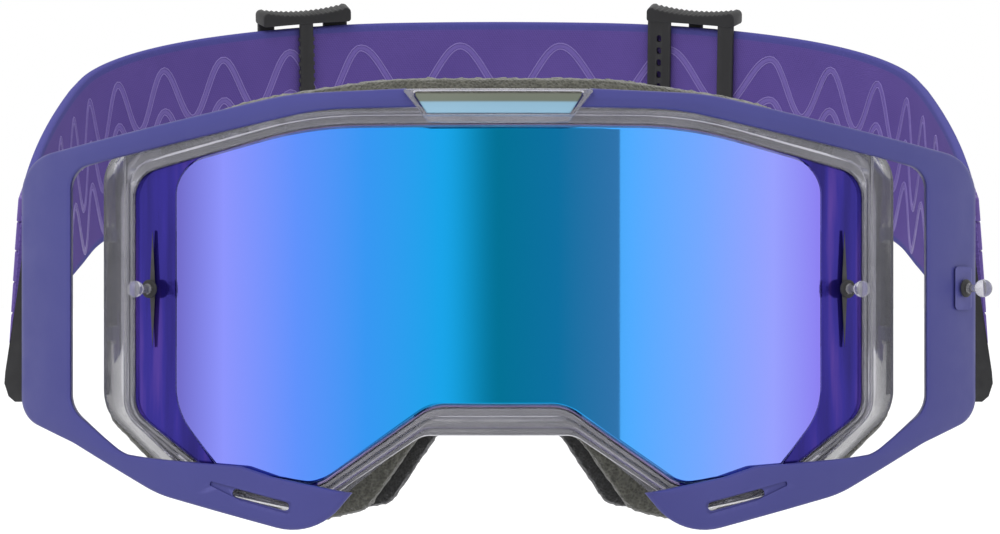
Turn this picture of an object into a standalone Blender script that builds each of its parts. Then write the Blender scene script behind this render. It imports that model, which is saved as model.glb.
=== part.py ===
"""Motorcycle goggles: clear inner frame, two outrigger halves, mirrored lens, face foam and strap.

Metres, +Z up. The goggles look towards -Y and +X is to the right of a person facing them.
The origin is the middle of the face seat: half way between the temples, level with the lens.
Most pieces are drawn flat, as (x, depth, z), and then bent round the wrap of the lens.
"""
import math

import bmesh
import bpy
from mathutils import Matrix, Vector

# Wrap of the lens, seen from above, and the two surfaces behind it.
WRAP_RADIUS = 0.125
WRAP_CENTRE_Y = 0.073
FRAME_HALF_WIDTH = 0.084
FRAME_REAR_Y = -0.030
FRAME_REAR_SWEEP = 0.020
FACE_Y = -0.012
FACE_SWEEP = 0.027
LENS_ZONE_DEPTH = 0.005
REAR_DEPTH = 0.022
FACE_DEPTH = 0.040
BEND_STEP = 0.0112
TOUCH_GAP = 0.0003
ARC_STEPS = 3

# Half outlines, from the top middle round the right side to the bottom middle: x, z, radius.
LENS_OUTLINE = (
    (0.0, 0.0287, 0.0),
    (0.0380, 0.0286, 0.080),
    (0.0753, 0.0189, 0.006),
    (0.0753, -0.0300, 0.006),
    (0.0580, -0.0426, 0.008),
    (0.0365, -0.0446, 0.008),
    (0.0135, -0.0281, 0.009),
    (0.0, -0.0281, 0.0),
)
MAIN_FACE_OUTLINE = (
    (0.0, 0.0272, 0.0),
    (0.0380, 0.0271, 0.080),
    (0.0662, 0.0200, 0.008),
    (0.0662, -0.0290, 0.016),
    (0.0565, -0.0409, 0.004),
    (0.0370, -0.0431, 0.006),
    (0.0130, -0.0268, 0.010),
    (0.0, -0.0268, 0.0),
)
LIP_OUTLINE = (
    (0.0, 0.0343, 0.0),
    (0.0380, 0.0342, 0.080),
    (0.0778, 0.0260, 0.005),
    (0.0778, -0.0305, 0.007),
    (0.0600, -0.0455, 0.008),
    (0.0385, -0.0495, 0.008),
    (0.0152, -0.0338, 0.005),
    (0.0, -0.0338, 0.0),
)
FLANGE_OUTLINE = (
    (0.0, 0.0350, 0.0),
    (0.0380, 0.0349, 0.080),
    (0.0833, 0.0240, 0.008),
    (0.0833, -0.0300, 0.009),
    (0.0640, -0.0475, 0.009),
    (0.0380, -0.0523, 0.009),
    (0.0160, -0.0338, 0.006),
    (0.0, -0.0338, 0.0),
)
FOAM_OUTLINE = (
    (0.0, 0.0390, 0.0),
    (0.0240, 0.0389, 0.080),
    (0.0520, 0.0348, 0.060),
    (0.0834, 0.0245, 0.010),
    (0.0834, -0.0310, 0.010),
    (0.0650, -0.0490, 0.010),
    (0.0380, -0.0530, 0.006),
    (0.0218, -0.0503, 0.006),
    (0.0112, -0.0345, 0.005),
    (0.0, -0.0345, 0.0),
)
FOAM_BASE_NOSE = (
    (0.0380, -0.0530, 0.006),
    (0.0270, -0.0502, 0.005),
    (0.0160, -0.0345, 0.005),
    (0.0, -0.0345, 0.0),
)
FOAM_BASE_OUTLINE = FOAM_OUTLINE[:6] + FOAM_BASE_NOSE
FOAM_INNER_OUTLINE = (
    (0.0, 0.0285, 0.0),
    (0.0240, 0.0284, 0.080),
    (0.0500, 0.0252, 0.060),
    (0.0750, 0.0180, 0.008),
    (0.0750, -0.0270, 0.008),
    (0.0600, -0.0395, 0.008),
    (0.0420, -0.0425, 0.006),
    (0.0310, -0.0400, 0.005),
    (0.0170, -0.0262, 0.005),
    (0.0, -0.0262, 0.0),
)

# Outrigger halves: the outer and the inner edge have the same corners.
OUTRIGGER_OUTER_EDGE = (
    (0.0185, 0.0357, 0.0),
    (0.0420, 0.0349, 0.060),
    (0.1018, 0.0225, 0.009),
    (0.1018, -0.0320, 0.006),
    (0.0890, -0.0368, 0.020),
    (0.0700, -0.0466, 0.025),
    (0.0369, -0.0545, 0.013),
    (0.0293, -0.0453, 0.0),
)
OUTRIGGER_INNER_EDGE = (
    (0.0120, 0.0320, 0.0),
    (0.0360, 0.0317, 0.060),
    (0.0896, 0.0203, 0.005),
    (0.0896, -0.0297, 0.006),
    (0.0770, -0.0390, 0.010),
    (0.0520, -0.0404, 0.006),
    (0.0455, -0.0424, 0.006),
    (0.0310, -0.0451, 0.0),
)
OUTRIGGER_FRONT_DEPTH = -0.0030
OUTRIGGER_BACK_DEPTH = -0.0008
OUTRIGGER_BAR_BACK_DEPTH = 0.0020
OUTRIGGER_BAR_START_X = 0.082
OUTRIGGER_BAR_FULL_X = 0.088
OUTRIGGER_CHAMFER = 0.0009
OUTRIGGER_EDGE_STEPS = 4
WING_SLOT_CENTRE = (0.0480, -0.0470)
WING_SLOT_LENGTH = 0.0120
WING_SLOT_HEIGHT = 0.0018
WING_SLOT_TILT = math.radians(13.5)
WING_SLOT_CUT = 0.0200

# Clear inner frame and lens, as depths behind the wrap.
LIP_FRONT_DEPTH = -0.0003
LENS_FACE_DEPTH = -0.0001
LENS_BORDER_DEPTH = 0.0012
LENS_BACK_DEPTH = 0.0026
LENS_BEVEL = 0.0010
SEAL_THICKNESS = 0.0006
SEAL_WIDTH = 0.0022
SHELF_THICKNESS = 0.0012
FRAME_WALL = 0.0020
FLANGE_THICKNESS = 0.0018
FLANGE_WIDTH = 0.0100
FOAM_BASE_THICKNESS = 0.0060
FOAM_MIDDLE_THICKNESS = 0.0082
FOAM_SIDE_STEP = 0.0010

# Badge at the top middle.
BADGE_OUTLINE = (
    (0.0, 0.0355, 0.0),
    (0.0193, 0.0355, 0.0004),
    (0.0139, 0.0288, 0.0005),
    (0.0, 0.0288, 0.0),
)
BADGE_WINDOW_OUTLINE = (
    (0.0, 0.0347, 0.0),
    (0.0169, 0.0347, 0.0004),
    (0.0143, 0.0306, 0.0004),
    (0.0, 0.0306, 0.0),
)
BADGE_FRONT_DEPTH = -0.0046
BADGE_THICKNESS = 0.0013
BADGE_WINDOW_RECESS = 0.0003

# Vents in the top and bottom walls: x of the middle of each window.
VENT_WINDOWS_X = (0.0480, 0.0560, 0.0640)
VENT_WINDOW_WIDTH = 0.0062
VENT_WINDOW_LENGTH_Y = 0.0065
VENT_TOP_MIDDLE = (-0.0300, 0.0300)
VENT_BOTTOM_MIDDLE = (-0.0300, -0.0460)
VENT_CUT_HEIGHT = 0.0120
VENT_FOAM_START_X = 0.0430
VENT_FOAM_END_X = 0.0690
VENT_FOAM_FRONT_DEPTH = 0.0075
VENT_FOAM_REAR_DEPTH = 0.0185
VENT_FOAM_THICKNESS = 0.0022

# Tear-off posts.
POST_X = 0.0713
POST_Z = -0.0045
POST_FLANGE_RADIUS = 0.0019
POST_FLANGE_HEIGHT = 0.0009
POST_STEM_RADIUS = 0.0008
POST_STEM_HEIGHT = 0.0030
POST_HEAD_RADIUS = 0.0017
OUTRIGGER_POST_X = 0.0985
OUTRIGGER_POST_HEAD_RADIUS = 0.0019
OUTRIGGER_POST_STEM_HEIGHT = 0.0026
PAD_HALF_HEIGHT = 0.0046
PAD_HALF_WIDTH = 0.0021
PAD_HEIGHT = 0.0007
RIB_HALF_HEIGHT = 0.0120
RIB_HALF_WIDTH = 0.0006
RIB_BACK_DEPTH = 0.0008
RIB_FRONT_DEPTH = 0.0002

# Hinge between outrigger and strap clip: a vertical pin.
HINGE_X = 0.0986
HINGE_Y = 0.0050
PIN_RADIUS = 0.0010
PIN_CLEARANCE = 0.00006
LUG_RADIUS = 0.0020
LUG_HEIGHT = 0.0030
LUG_ROOT_Y = -0.0023
BARREL_RADIUS = 0.0022
BARREL_TOP_Z = 0.0055
BARREL_BOTTOM_Z = -0.0127
PIN_END_LENGTH = 0.0008
CLIP_FACE = (
    (0.10235, 0.0032),
    (0.1036, -0.0060),
    (0.1048, -0.0155),
    (0.1061, -0.0225),
    (0.1063, -0.0250),
    (0.1054, -0.0278),
    (0.1040, -0.0290),
    (0.10235, -0.0290),
)
CLIP_FACE_FRONT_Y = 0.0044
CLIP_FACE_BACK_Y = 0.0072
CLIP_NECK_LOW = (0.1002, 0.0046, -0.0125)
CLIP_NECK_HIGH = (0.1026, 0.0062, 0.0030)
CLIP_WEB_HEIGHTS = (-0.0095, 0.0050)
CLIP_WEB_REACH = 0.0030
CLIP_PLATE_SETBACK = 0.0060
CLIP_PLATE_LENGTH = 0.0100
CLIP_PLATE_HALF_WIDTH = 0.0200
CLIP_PLATE_THICKNESS = 0.0018

# Strap: a band on a tilted plane, as arcs of (radius, turn) from the back's middle to the clip.
STRAP_TILT = math.radians(16.0)
STRAP_BASE_Z = -0.0032
STRAP_BACK_REACH = 0.1621
STRAP_HALF_WIDTH = 0.0215
STRAP_HALF_THICKNESS = 0.0010
STRAP_ARCS = (
    (0.3000, math.radians(4.8)),
    (0.0950, math.radians(30.5)),
    (0.0643, math.radians(48.2)),
    (0.6940, math.radians(7.5)),
)
STRAP_STEPS = (3, 8, 9, 6)
STRAP_LEAN = 0.125
STRAP_LEAN_START = 0.140
STRAP_HALF_LENGTH = sum(radius * turn for radius, turn in STRAP_ARCS)
STRAP_END_LENGTH = 0.0220
STRAP_JOINT_GAP = 0.0005
STRAP_FRONT_INSET = 0.0014

# Raised rubber patch outside each strap end: a staircase of (height, start along the strap) rows.
PATCH_ROWS = (
    (-0.0195, 0.0020),
    (-0.0120, 0.0032),
    (-0.0045, 0.0046),
    (0.0030, 0.0062),
    (0.0100, 0.0080),
)
PATCH_TOP = 0.0160
PATCH_LENGTH = 0.0110
PATCH_THICKNESS = 0.0009

# Sliders on the back of the strap.
SLIDER_TRAVEL = 0.0498
SLIDER_HALF_WIDTH = 0.0118
SLIDER_HALF_HEIGHT = 0.0265
SLIDER_RAIL_START = 0.0229
SLIDER_WIDE_BAR = 0.0064
SLIDER_SIDE_BAR = 0.0046
SLIDER_CENTRE_BAR = 0.0018
SLIDER_BAR_INNER = 0.0014
SLIDER_BAR_OUTER = 0.0028
SLIDER_EDGE_INSET = 0.0003
SLIDER_STEPS = 6


def clear_scene():
    for item in list(bpy.data.objects):
        bpy.data.objects.remove(item, do_unlink=True)


def make_material(name, colour, roughness, metallic=0.0, transmission=0.0):
    material = bpy.data.materials.new(name)
    material.use_nodes = True
    shader = material.node_tree.nodes["Principled BSDF"]
    shader.inputs["Base Color"].default_value = (*colour, 1.0)
    shader.inputs["Roughness"].default_value = roughness
    shader.inputs["Metallic"].default_value = metallic
    shader.inputs["Transmission Weight"].default_value = transmission
    material.diffuse_color = (*colour, 1.0)
    return material


# The bend: flat (x, depth, z) to the wrapped shape.

def wrap_y(x):
    return WRAP_CENTRE_Y - math.sqrt(WRAP_RADIUS ** 2 - x ** 2)


def sweep_y(x, middle_y, sweep):
    return middle_y + sweep * (x / FRAME_HALF_WIDTH) ** 2


def depth_to_y(x, depth):
    """Follow the lens near the front, then the frame's rear, then the wearer's face."""
    front = wrap_y(x) + LENS_ZONE_DEPTH
    rear = sweep_y(x, FRAME_REAR_Y, FRAME_REAR_SWEEP)
    face = sweep_y(x, FACE_Y, FACE_SWEEP)
    if depth <= LENS_ZONE_DEPTH:
        return wrap_y(x) + depth
    if depth <= REAR_DEPTH:
        share = (depth - LENS_ZONE_DEPTH) / (REAR_DEPTH - LENS_ZONE_DEPTH)
        return front + share * (rear - front)
    share = (depth - REAR_DEPTH) / (FACE_DEPTH - REAR_DEPTH)
    return rear + share * (face - rear)


def bend(mesh):
    """Split the faces along x, then bend every corner round the wrap."""
    reach = max(abs(vert.co.x) for vert in mesh.verts)
    count = int(reach / BEND_STEP)
    for index in range(-count, count + 1):
        everything = mesh.verts[:] + mesh.edges[:] + mesh.faces[:]
        plane = (index * BEND_STEP, 0.0, 0.0)
        bmesh.ops.bisect_plane(mesh, geom=everything, dist=0.0002, plane_co=plane, plane_no=(1, 0, 0))
    for vert in mesh.verts:
        vert.co.y = depth_to_y(vert.co.x, vert.co.y)


# Outlines.

def round_corner(before, corner, after, radius):
    """Points of the arc that rounds one corner of an outline."""
    towards = (before - corner).normalized()
    away = (after - corner).normalized()
    half = towards.angle(away) / 2
    centre = corner + (towards + away).normalized() * (radius / math.sin(half))
    first = corner + towards * (radius / math.tan(half)) - centre
    last = corner + away * (radius / math.tan(half)) - centre
    start = math.atan2(first.y, first.x)
    turn = math.atan2(last.y, last.x) - start
    turn = (turn + math.pi) % (2 * math.pi) - math.pi
    points = []
    for step in range(ARC_STEPS + 1):
        angle = start + turn * step / ARC_STEPS
        points.append(centre + Vector((math.cos(angle), math.sin(angle))) * radius)
    return points


def open_curve(corners, edge_steps=1):
    """An outline from its first to its last corner, with the corners between them rounded."""
    flat = [Vector(corner[:2]) for corner in corners]
    points = [flat[0]]
    for index in range(1, len(flat)):
        if index < len(flat) - 1:
            arc = round_corner(flat[index - 1], flat[index], flat[index + 1], corners[index][2])
        else:
            arc = [flat[-1]]
        start = points[-1]
        for step in range(1, edge_steps):
            points.append(start.lerp(arc[0], step / edge_steps))
        points += arc
    return points


def closed_loop(outline):
    """A half outline and its mirror image as one closed loop."""
    right = open_curve(outline)
    left = [Vector((-point.x, point.y)) for point in reversed(right[1:-1])]
    return right + left


def line_crossing(point_a, along_a, point_b, along_b):
    span = point_b - point_a
    share = (span.x * along_b.y - span.y * along_b.x) / (along_a.x * along_b.y - along_a.y * along_b.x)
    return point_a + along_a * share


def grow(outline, distance):
    """Move every edge of a half outline outwards, or inwards when distance is negative."""
    flat = [Vector(corner[:2]) for corner in outline]
    edges = []
    for start, end in zip(flat, flat[1:]):
        along = (end - start).normalized()
        outward = Vector((-along.y, along.x))
        edges.append((start + outward * distance, along))
    upright = Vector((0.0, 1.0))
    grown = [(*line_crossing(*edges[0], Vector((0.0, 0.0)), upright), 0.0)]
    for index in range(1, len(outline) - 1):
        before = edges[index - 1]
        after = edges[index]
        corner = line_crossing(*before, *after)
        turn = before[1].x * after[1].y - before[1].y * after[1].x
        radius = outline[index][2] + (distance if turn < 0 else -distance)
        grown.append((corner.x, corner.y, max(radius, 0.0005)))
    grown.append((*line_crossing(*edges[-1], Vector((0.0, 0.0)), upright), 0.0))
    return grown


# Solids.

def finish_object(mesh, name, material, smooth_angle=35.0):
    bmesh.ops.triangulate(mesh, faces=mesh.faces[:])
    bmesh.ops.recalc_face_normals(mesh, faces=mesh.faces[:])
    if mesh.calc_volume(signed=True) < 0.0:
        bmesh.ops.reverse_faces(mesh, faces=mesh.faces[:])
    data = bpy.data.meshes.new(name)
    mesh.to_mesh(data)
    mesh.free()
    data.shade_smooth()
    data.set_sharp_from_angle(angle=math.radians(smooth_angle))
    item = bpy.data.objects.new(name, data)
    bpy.context.scene.collection.objects.link(item)
    data.materials.append(material)
    return item


def skin_rails(mesh, rails, closed_section, closed_path):
    """Faces between neighbouring rails. Each rail is a list of corners along the piece."""
    pairs = list(zip(rails, rails[1:]))
    if closed_section:
        pairs.append((rails[-1], rails[0]))
    for low, high in pairs:
        count = len(low) if closed_path else len(low) - 1
        for index in range(count):
            after = (index + 1) % len(low)
            mesh.faces.new((low[index], low[after], high[after], high[index]))


def bent_ring(name, sections, material):
    """A closed ring. Each section is a half outline and its depth."""
    mesh = bmesh.new()
    rails = []
    for outline, depth in sections:
        rails.append([mesh.verts.new((point.x, depth, point.y)) for point in closed_loop(outline)])
    skin_rails(mesh, rails, closed_section=True, closed_path=True)
    bend(mesh)
    return finish_object(mesh, name, material)


def bent_plate(name, sections, material):
    """A closed plate. Its first and last sections are filled."""
    mesh = bmesh.new()
    rails = []
    for outline, depth in sections:
        rails.append([mesh.verts.new((point.x, depth, point.y)) for point in closed_loop(outline)])
    skin_rails(mesh, rails, closed_section=False, closed_path=True)
    mesh.faces.new(rails[0])
    mesh.faces.new(rails[-1])
    bend(mesh)
    return finish_object(mesh, name, material)


def box_mesh(low, high):
    mesh = bmesh.new()
    bmesh.ops.create_cube(mesh, size=1.0)
    for vert in mesh.verts:
        for axis in range(3):
            middle = (low[axis] + high[axis]) / 2
            vert.co[axis] = middle + vert.co[axis] * (high[axis] - low[axis])
    return mesh


def upright_prism(outline, low_z, high_z):
    """A prism with an outline of (x, y) points."""
    mesh = bmesh.new()
    low = [mesh.verts.new((x, y, low_z)) for x, y in outline]
    high = [mesh.verts.new((x, y, high_z)) for x, y in outline]
    skin_rails(mesh, [low, high], closed_section=False, closed_path=True)
    mesh.faces.new(low)
    mesh.faces.new(high)
    return mesh


def circle_points(x, y, radius, count=16):
    points = []
    for index in range(count):
        angle = 2 * math.pi * index / count
        points.append((x + radius * math.cos(angle), y + radius * math.sin(angle)))
    return points


def mirror_mesh(mesh, side):
    for vert in mesh.verts:
        vert.co.x *= side
    return mesh


def cut_or_join(target, tool, operation):
    """Let a hidden tool object cut a piece, or become part of it."""
    tool.hide_render = True
    tool.display_type = "WIRE"
    modifier = target.modifiers.new(operation.lower(), "BOOLEAN")
    modifier.operation = operation
    modifier.solver = "EXACT"
    modifier.object = tool


def lathe(profile, steps=12):
    """Turn (radius, height) points about +Z; the first and last points are on the axis."""
    mesh = bmesh.new()
    rails = []
    for radius, height in profile[1:-1]:
        rails.append([mesh.verts.new((x, y, height)) for x, y in circle_points(0.0, 0.0, radius, steps)])
    skin_rails(mesh, rails, closed_section=False, closed_path=True)
    for rail, height in ((rails[0], profile[0][1]), (rails[-1], profile[-1][1])):
        tip = mesh.verts.new((0.0, 0.0, height))
        for index in range(steps):
            mesh.faces.new((rail[index], rail[(index + 1) % steps], tip))
    return mesh


def stand_on_wrap(mesh, side, x, z, depth):
    """Stand a lathed piece on the wrap surface, pointing along the surface's outward normal."""
    lean = math.asin(x / WRAP_RADIUS)
    outward = Vector((side * math.sin(lean), -math.cos(lean), 0.0))
    turn = Vector((0.0, 0.0, 1.0)).rotation_difference(outward).to_matrix().to_4x4()
    base = Vector((side * x, wrap_y(x), z)) - outward * depth
    bmesh.ops.transform(mesh, matrix=Matrix.Translation(base) @ turn, verts=mesh.verts[:])
    return mesh


# Frame, lens and foam.

def add_inner_frame(material):
    """A thin wall from the lens shelf to the rear flange, with a lip round the lens."""
    groove = grow(LENS_OUTLINE, TOUCH_GAP)
    shelf = grow(LENS_OUTLINE, -SEAL_WIDTH)
    shelf_depth = LENS_BACK_DEPTH + 2 * TOUCH_GAP + SEAL_THICKNESS
    flange_front = REAR_DEPTH - FLANGE_THICKNESS
    sections = (
        (groove, LIP_FRONT_DEPTH),
        (LIP_OUTLINE, LIP_FRONT_DEPTH),
        (FLANGE_OUTLINE, flange_front),
        (FLANGE_OUTLINE, REAR_DEPTH),
        (grow(FLANGE_OUTLINE, -FLANGE_WIDTH), REAR_DEPTH),
        (grow(FLANGE_OUTLINE, -FLANGE_WIDTH), flange_front),
        (grow(FLANGE_OUTLINE, -FRAME_WALL), flange_front),
        (grow(LIP_OUTLINE, -FRAME_WALL), shelf_depth + SHELF_THICKNESS),
        (shelf, shelf_depth + SHELF_THICKNESS),
        (shelf, shelf_depth),
        (groove, shelf_depth),
    )
    frame = bent_ring("inner_frame", sections, material)
    for side in (-1, 1):
        for middle_y, middle_z in (VENT_TOP_MIDDLE, VENT_BOTTOM_MIDDLE):
            add_vent_cutters(frame, side, middle_y, middle_z, material)


def add_vent_cutters(frame, side, middle_y, middle_z, material):
    for x in VENT_WINDOWS_X:
        y = (depth_to_y(x, VENT_FOAM_FRONT_DEPTH) + depth_to_y(x, VENT_FOAM_REAR_DEPTH)) / 2
        half = (VENT_WINDOW_WIDTH / 2, VENT_WINDOW_LENGTH_Y / 2, VENT_CUT_HEIGHT / 2)
        middle = (x, y, middle_z)
        low = [value - reach for value, reach in zip(middle, half)]
        high = [value + reach for value, reach in zip(middle, half)]
        tool = finish_object(mirror_mesh(box_mesh(low, high), side), "vent_cutter", material)
        cut_or_join(frame, tool, "DIFFERENCE")


def add_lens(material, seal_material):
    sections = (
        (LENS_OUTLINE, LENS_BACK_DEPTH),
        (LENS_OUTLINE, LENS_BORDER_DEPTH),
        (MAIN_FACE_OUTLINE, LENS_BORDER_DEPTH),
        (grow(MAIN_FACE_OUTLINE, -LENS_BEVEL), LENS_FACE_DEPTH),
    )
    bent_plate("lens", sections, material)
    seal_front = LENS_BACK_DEPTH + TOUCH_GAP
    outer = grow(LENS_OUTLINE, -TOUCH_GAP)
    inner = grow(LENS_OUTLINE, -SEAL_WIDTH)
    sections = (
        (outer, seal_front),
        (outer, seal_front + SEAL_THICKNESS),
        (inner, seal_front + SEAL_THICKNESS),
        (inner, seal_front),
    )
    bent_ring("lens_seal", sections, seal_material)


def add_face_foam(base_material, middle_material, fleece_material):
    """Three glued layers from the frame's flange to the face."""
    base_start = REAR_DEPTH + TOUCH_GAP
    middle_start = base_start + FOAM_BASE_THICKNESS + TOUCH_GAP
    fleece_start = middle_start + FOAM_MIDDLE_THICKNESS + TOUCH_GAP
    layers = (
        ("foam_base", FOAM_BASE_OUTLINE, 0, base_start, FOAM_BASE_THICKNESS, base_material),
        ("foam_middle", FOAM_OUTLINE, 1, middle_start, FOAM_MIDDLE_THICKNESS, middle_material),
        ("foam_fleece", FOAM_OUTLINE, 2, fleece_start, FACE_DEPTH - fleece_start, fleece_material),
    )
    for name, outline, steps, front, thickness, material in layers:
        rear = front + thickness
        outer = grow(outline, -steps * FOAM_SIDE_STEP)
        inner = grow(FOAM_INNER_OUTLINE, steps * FOAM_SIDE_STEP)
        sections = ((outer, front), (outer, rear), (inner, rear), (inner, front))
        bent_ring(name, sections, material)


def wall_height(x, outline, top):
    """Height of a half outline's top or bottom edge at x."""
    loop = open_curve(outline)
    for start, end in zip(loop, loop[1:]):
        heading_right = end.x > start.x
        if heading_right == top and min(start.x, end.x) <= x <= max(start.x, end.x):
            return start.y + (end.y - start.y) * (x - start.x) / (end.x - start.x)
    return 0.0


def add_vent_foam(side, top, material):
    """A strip of open foam inside the wall, over the vent windows."""
    wall = grow(LIP_OUTLINE, -FRAME_WALL - TOUCH_GAP)
    sign = -1 if top else 1
    rails = [[], [], [], []]
    mesh = bmesh.new()
    steps = 6
    for step in range(steps + 1):
        x = VENT_FOAM_START_X + (VENT_FOAM_END_X - VENT_FOAM_START_X) * step / steps
        near = wall_height(x, wall, top)
        far = near + sign * VENT_FOAM_THICKNESS
        corners = (
            (VENT_FOAM_FRONT_DEPTH, near),
            (VENT_FOAM_REAR_DEPTH, near),
            (VENT_FOAM_REAR_DEPTH, far),
            (VENT_FOAM_FRONT_DEPTH, far),
        )
        for rail, (depth, z) in zip(rails, corners):
            rail.append(mesh.verts.new((x, depth_to_y(x, depth), z)))
    skin_rails(mesh, rails, closed_section=True, closed_path=False)
    mesh.faces.new([rail[0] for rail in rails])
    mesh.faces.new([rail[-1] for rail in rails])
    place = "top" if top else "bottom"
    name = "vent_foam_%s_%s" % (place, side_name(side))
    finish_object(mirror_mesh(mesh, side), name, material)


def add_badge(frame_material, window_material):
    back = BADGE_FRONT_DEPTH + BADGE_THICKNESS
    opening = grow(BADGE_WINDOW_OUTLINE, TOUCH_GAP)
    sections = (
        (BADGE_OUTLINE, back),
        (BADGE_OUTLINE, BADGE_FRONT_DEPTH),
        (opening, BADGE_FRONT_DEPTH),
        (opening, back),
    )
    bent_ring("badge_surround", sections, frame_material)
    front = BADGE_FRONT_DEPTH + BADGE_WINDOW_RECESS
    bent_plate("badge_window", ((BADGE_WINDOW_OUTLINE, back), (BADGE_WINDOW_OUTLINE, front)), window_material)


# Outrigger halves.

def bar_back_depth(x):
    share = (x - OUTRIGGER_BAR_START_X) / (OUTRIGGER_BAR_FULL_X - OUTRIGGER_BAR_START_X)
    share = min(max(share, 0.0), 1.0)
    return OUTRIGGER_BACK_DEPTH + share * (OUTRIGGER_BAR_BACK_DEPTH - OUTRIGGER_BACK_DEPTH)


def side_name(side):
    return "right" if side > 0 else "left"


def outrigger_mesh(side):
    """A ribbon between the outer and the inner edge, with chamfered front corners."""
    mesh = bmesh.new()
    rails = [[] for _ in range(6)]
    outer_edge = open_curve(OUTRIGGER_OUTER_EDGE, OUTRIGGER_EDGE_STEPS)
    inner_edge = open_curve(OUTRIGGER_INNER_EDGE, OUTRIGGER_EDGE_STEPS)
    for outer, inner in zip(outer_edge, inner_edge):
        across = inner - outer
        inset = across * min(OUTRIGGER_CHAMFER / across.length, 0.3)
        back = bar_back_depth(inner.x)
        side_depth = OUTRIGGER_FRONT_DEPTH + OUTRIGGER_CHAMFER
        corners = (
            (outer, back),
            (outer, side_depth),
            (outer + inset, OUTRIGGER_FRONT_DEPTH),
            (inner - inset, OUTRIGGER_FRONT_DEPTH),
            (inner, side_depth),
            (inner, back),
        )
        for rail, (point, depth) in zip(rails, corners):
            rail.append(mesh.verts.new((point.x, depth, point.y)))
    skin_rails(mesh, rails, closed_section=True, closed_path=False)
    mesh.faces.new([rail[0] for rail in rails])
    mesh.faces.new([rail[-1] for rail in rails])
    bend(mesh)
    return mirror_mesh(mesh, side)


def lug_outline(radius):
    """A tongue from the bar's back to round the hinge pin, seen from above."""
    points = [(HINGE_X - radius, LUG_ROOT_Y - 0.0030)]
    for index in range(9):
        angle = math.pi - math.pi * index / 8
        points.append((HINGE_X + radius * math.cos(angle), HINGE_Y + radius * math.sin(angle)))
    points.append((HINGE_X + 0.0008, LUG_ROOT_Y))
    return points


def pin_tool(radius, side, material):
    low = BARREL_BOTTOM_Z - 2 * LUG_HEIGHT
    high = BARREL_TOP_Z + 2 * LUG_HEIGHT
    mesh = upright_prism(circle_points(HINGE_X, HINGE_Y, radius), low, high)
    return finish_object(mirror_mesh(mesh, side), "pin_cutter", material)


def add_outrigger(side, material):
    name = "outer_frame_" + side_name(side)
    frame = finish_object(outrigger_mesh(side), name, material)
    for low in (BARREL_TOP_Z + TOUCH_GAP, BARREL_BOTTOM_Z - TOUCH_GAP - LUG_HEIGHT):
        mesh = upright_prism(lug_outline(LUG_RADIUS), low, low + LUG_HEIGHT)
        lug = finish_object(mirror_mesh(mesh, side), "lug_tool", material)
        cut_or_join(frame, lug, "UNION")
    cut_or_join(frame, pin_tool(PIN_RADIUS + PIN_CLEARANCE, side, material), "DIFFERENCE")
    x, z = WING_SLOT_CENTRE
    half = (WING_SLOT_LENGTH / 2, WING_SLOT_CUT / 2, WING_SLOT_HEIGHT / 2)
    mesh = box_mesh([-value for value in half], half)
    turn = Matrix.Rotation(-WING_SLOT_TILT, 4, "Y")
    place = Matrix.Translation((x, wrap_y(x), z))
    bmesh.ops.transform(mesh, matrix=place @ turn, verts=mesh.verts[:])
    cut_or_join(frame, finish_object(mirror_mesh(mesh, side), "slot_tool", material), "DIFFERENCE")


def add_hinge_pin(side, material):
    low = BARREL_BOTTOM_Z - TOUCH_GAP - LUG_HEIGHT - PIN_END_LENGTH
    high = BARREL_TOP_Z + TOUCH_GAP + LUG_HEIGHT + PIN_END_LENGTH
    mesh = upright_prism(circle_points(HINGE_X, HINGE_Y, PIN_RADIUS), low, high)
    finish_object(mirror_mesh(mesh, side), "hinge_pin_" + side_name(side), material)


def post_profile(head_radius, stem_height):
    """A round flange, a slim stem and a ball head."""
    profile = [
        (0.0, 0.0),
        (POST_FLANGE_RADIUS, 0.0),
        (POST_FLANGE_RADIUS, POST_FLANGE_HEIGHT * 0.6),
        (POST_FLANGE_RADIUS * 0.8, POST_FLANGE_HEIGHT),
        (POST_STEM_RADIUS, POST_FLANGE_HEIGHT),
    ]
    middle = stem_height + head_radius
    start = math.asin(POST_STEM_RADIUS / head_radius)
    for index in range(6):
        angle = math.pi - start - (math.pi - start) * index / 6
        profile.append((head_radius * math.sin(angle), middle + head_radius * math.cos(angle)))
    profile.append((0.0, middle + head_radius))
    return profile


def add_posts(post_material, rib_material):
    for side in (-1, 1):
        base = RIB_FRONT_DEPTH - TOUCH_GAP - RIB_HALF_WIDTH
        mesh = lathe(post_profile(POST_HEAD_RADIUS, POST_STEM_HEIGHT))
        stand_on_wrap(mesh, side, POST_X, POST_Z, base)
        finish_object(mesh, "lens_post_" + side_name(side), post_material)
        add_post_rib(side, rib_material)


def add_post_rib(side, material):
    """A slim diamond on the lens, under the post."""
    mesh = bmesh.new()
    rails = []
    for depth in (RIB_BACK_DEPTH, RIB_FRONT_DEPTH):
        corners = (
            (POST_X, POST_Z - RIB_HALF_HEIGHT),
            (POST_X + RIB_HALF_WIDTH, POST_Z),
            (POST_X, POST_Z + RIB_HALF_HEIGHT),
            (POST_X - RIB_HALF_WIDTH, POST_Z),
        )
        rails.append([mesh.verts.new((x, wrap_y(x) + depth, z)) for x, z in corners])
    skin_rails(mesh, rails, closed_section=False, closed_path=True)
    for rail in rails:
        mesh.faces.new(rail)
    finish_object(mirror_mesh(mesh, side), "post_rib_" + side_name(side), material)


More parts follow.
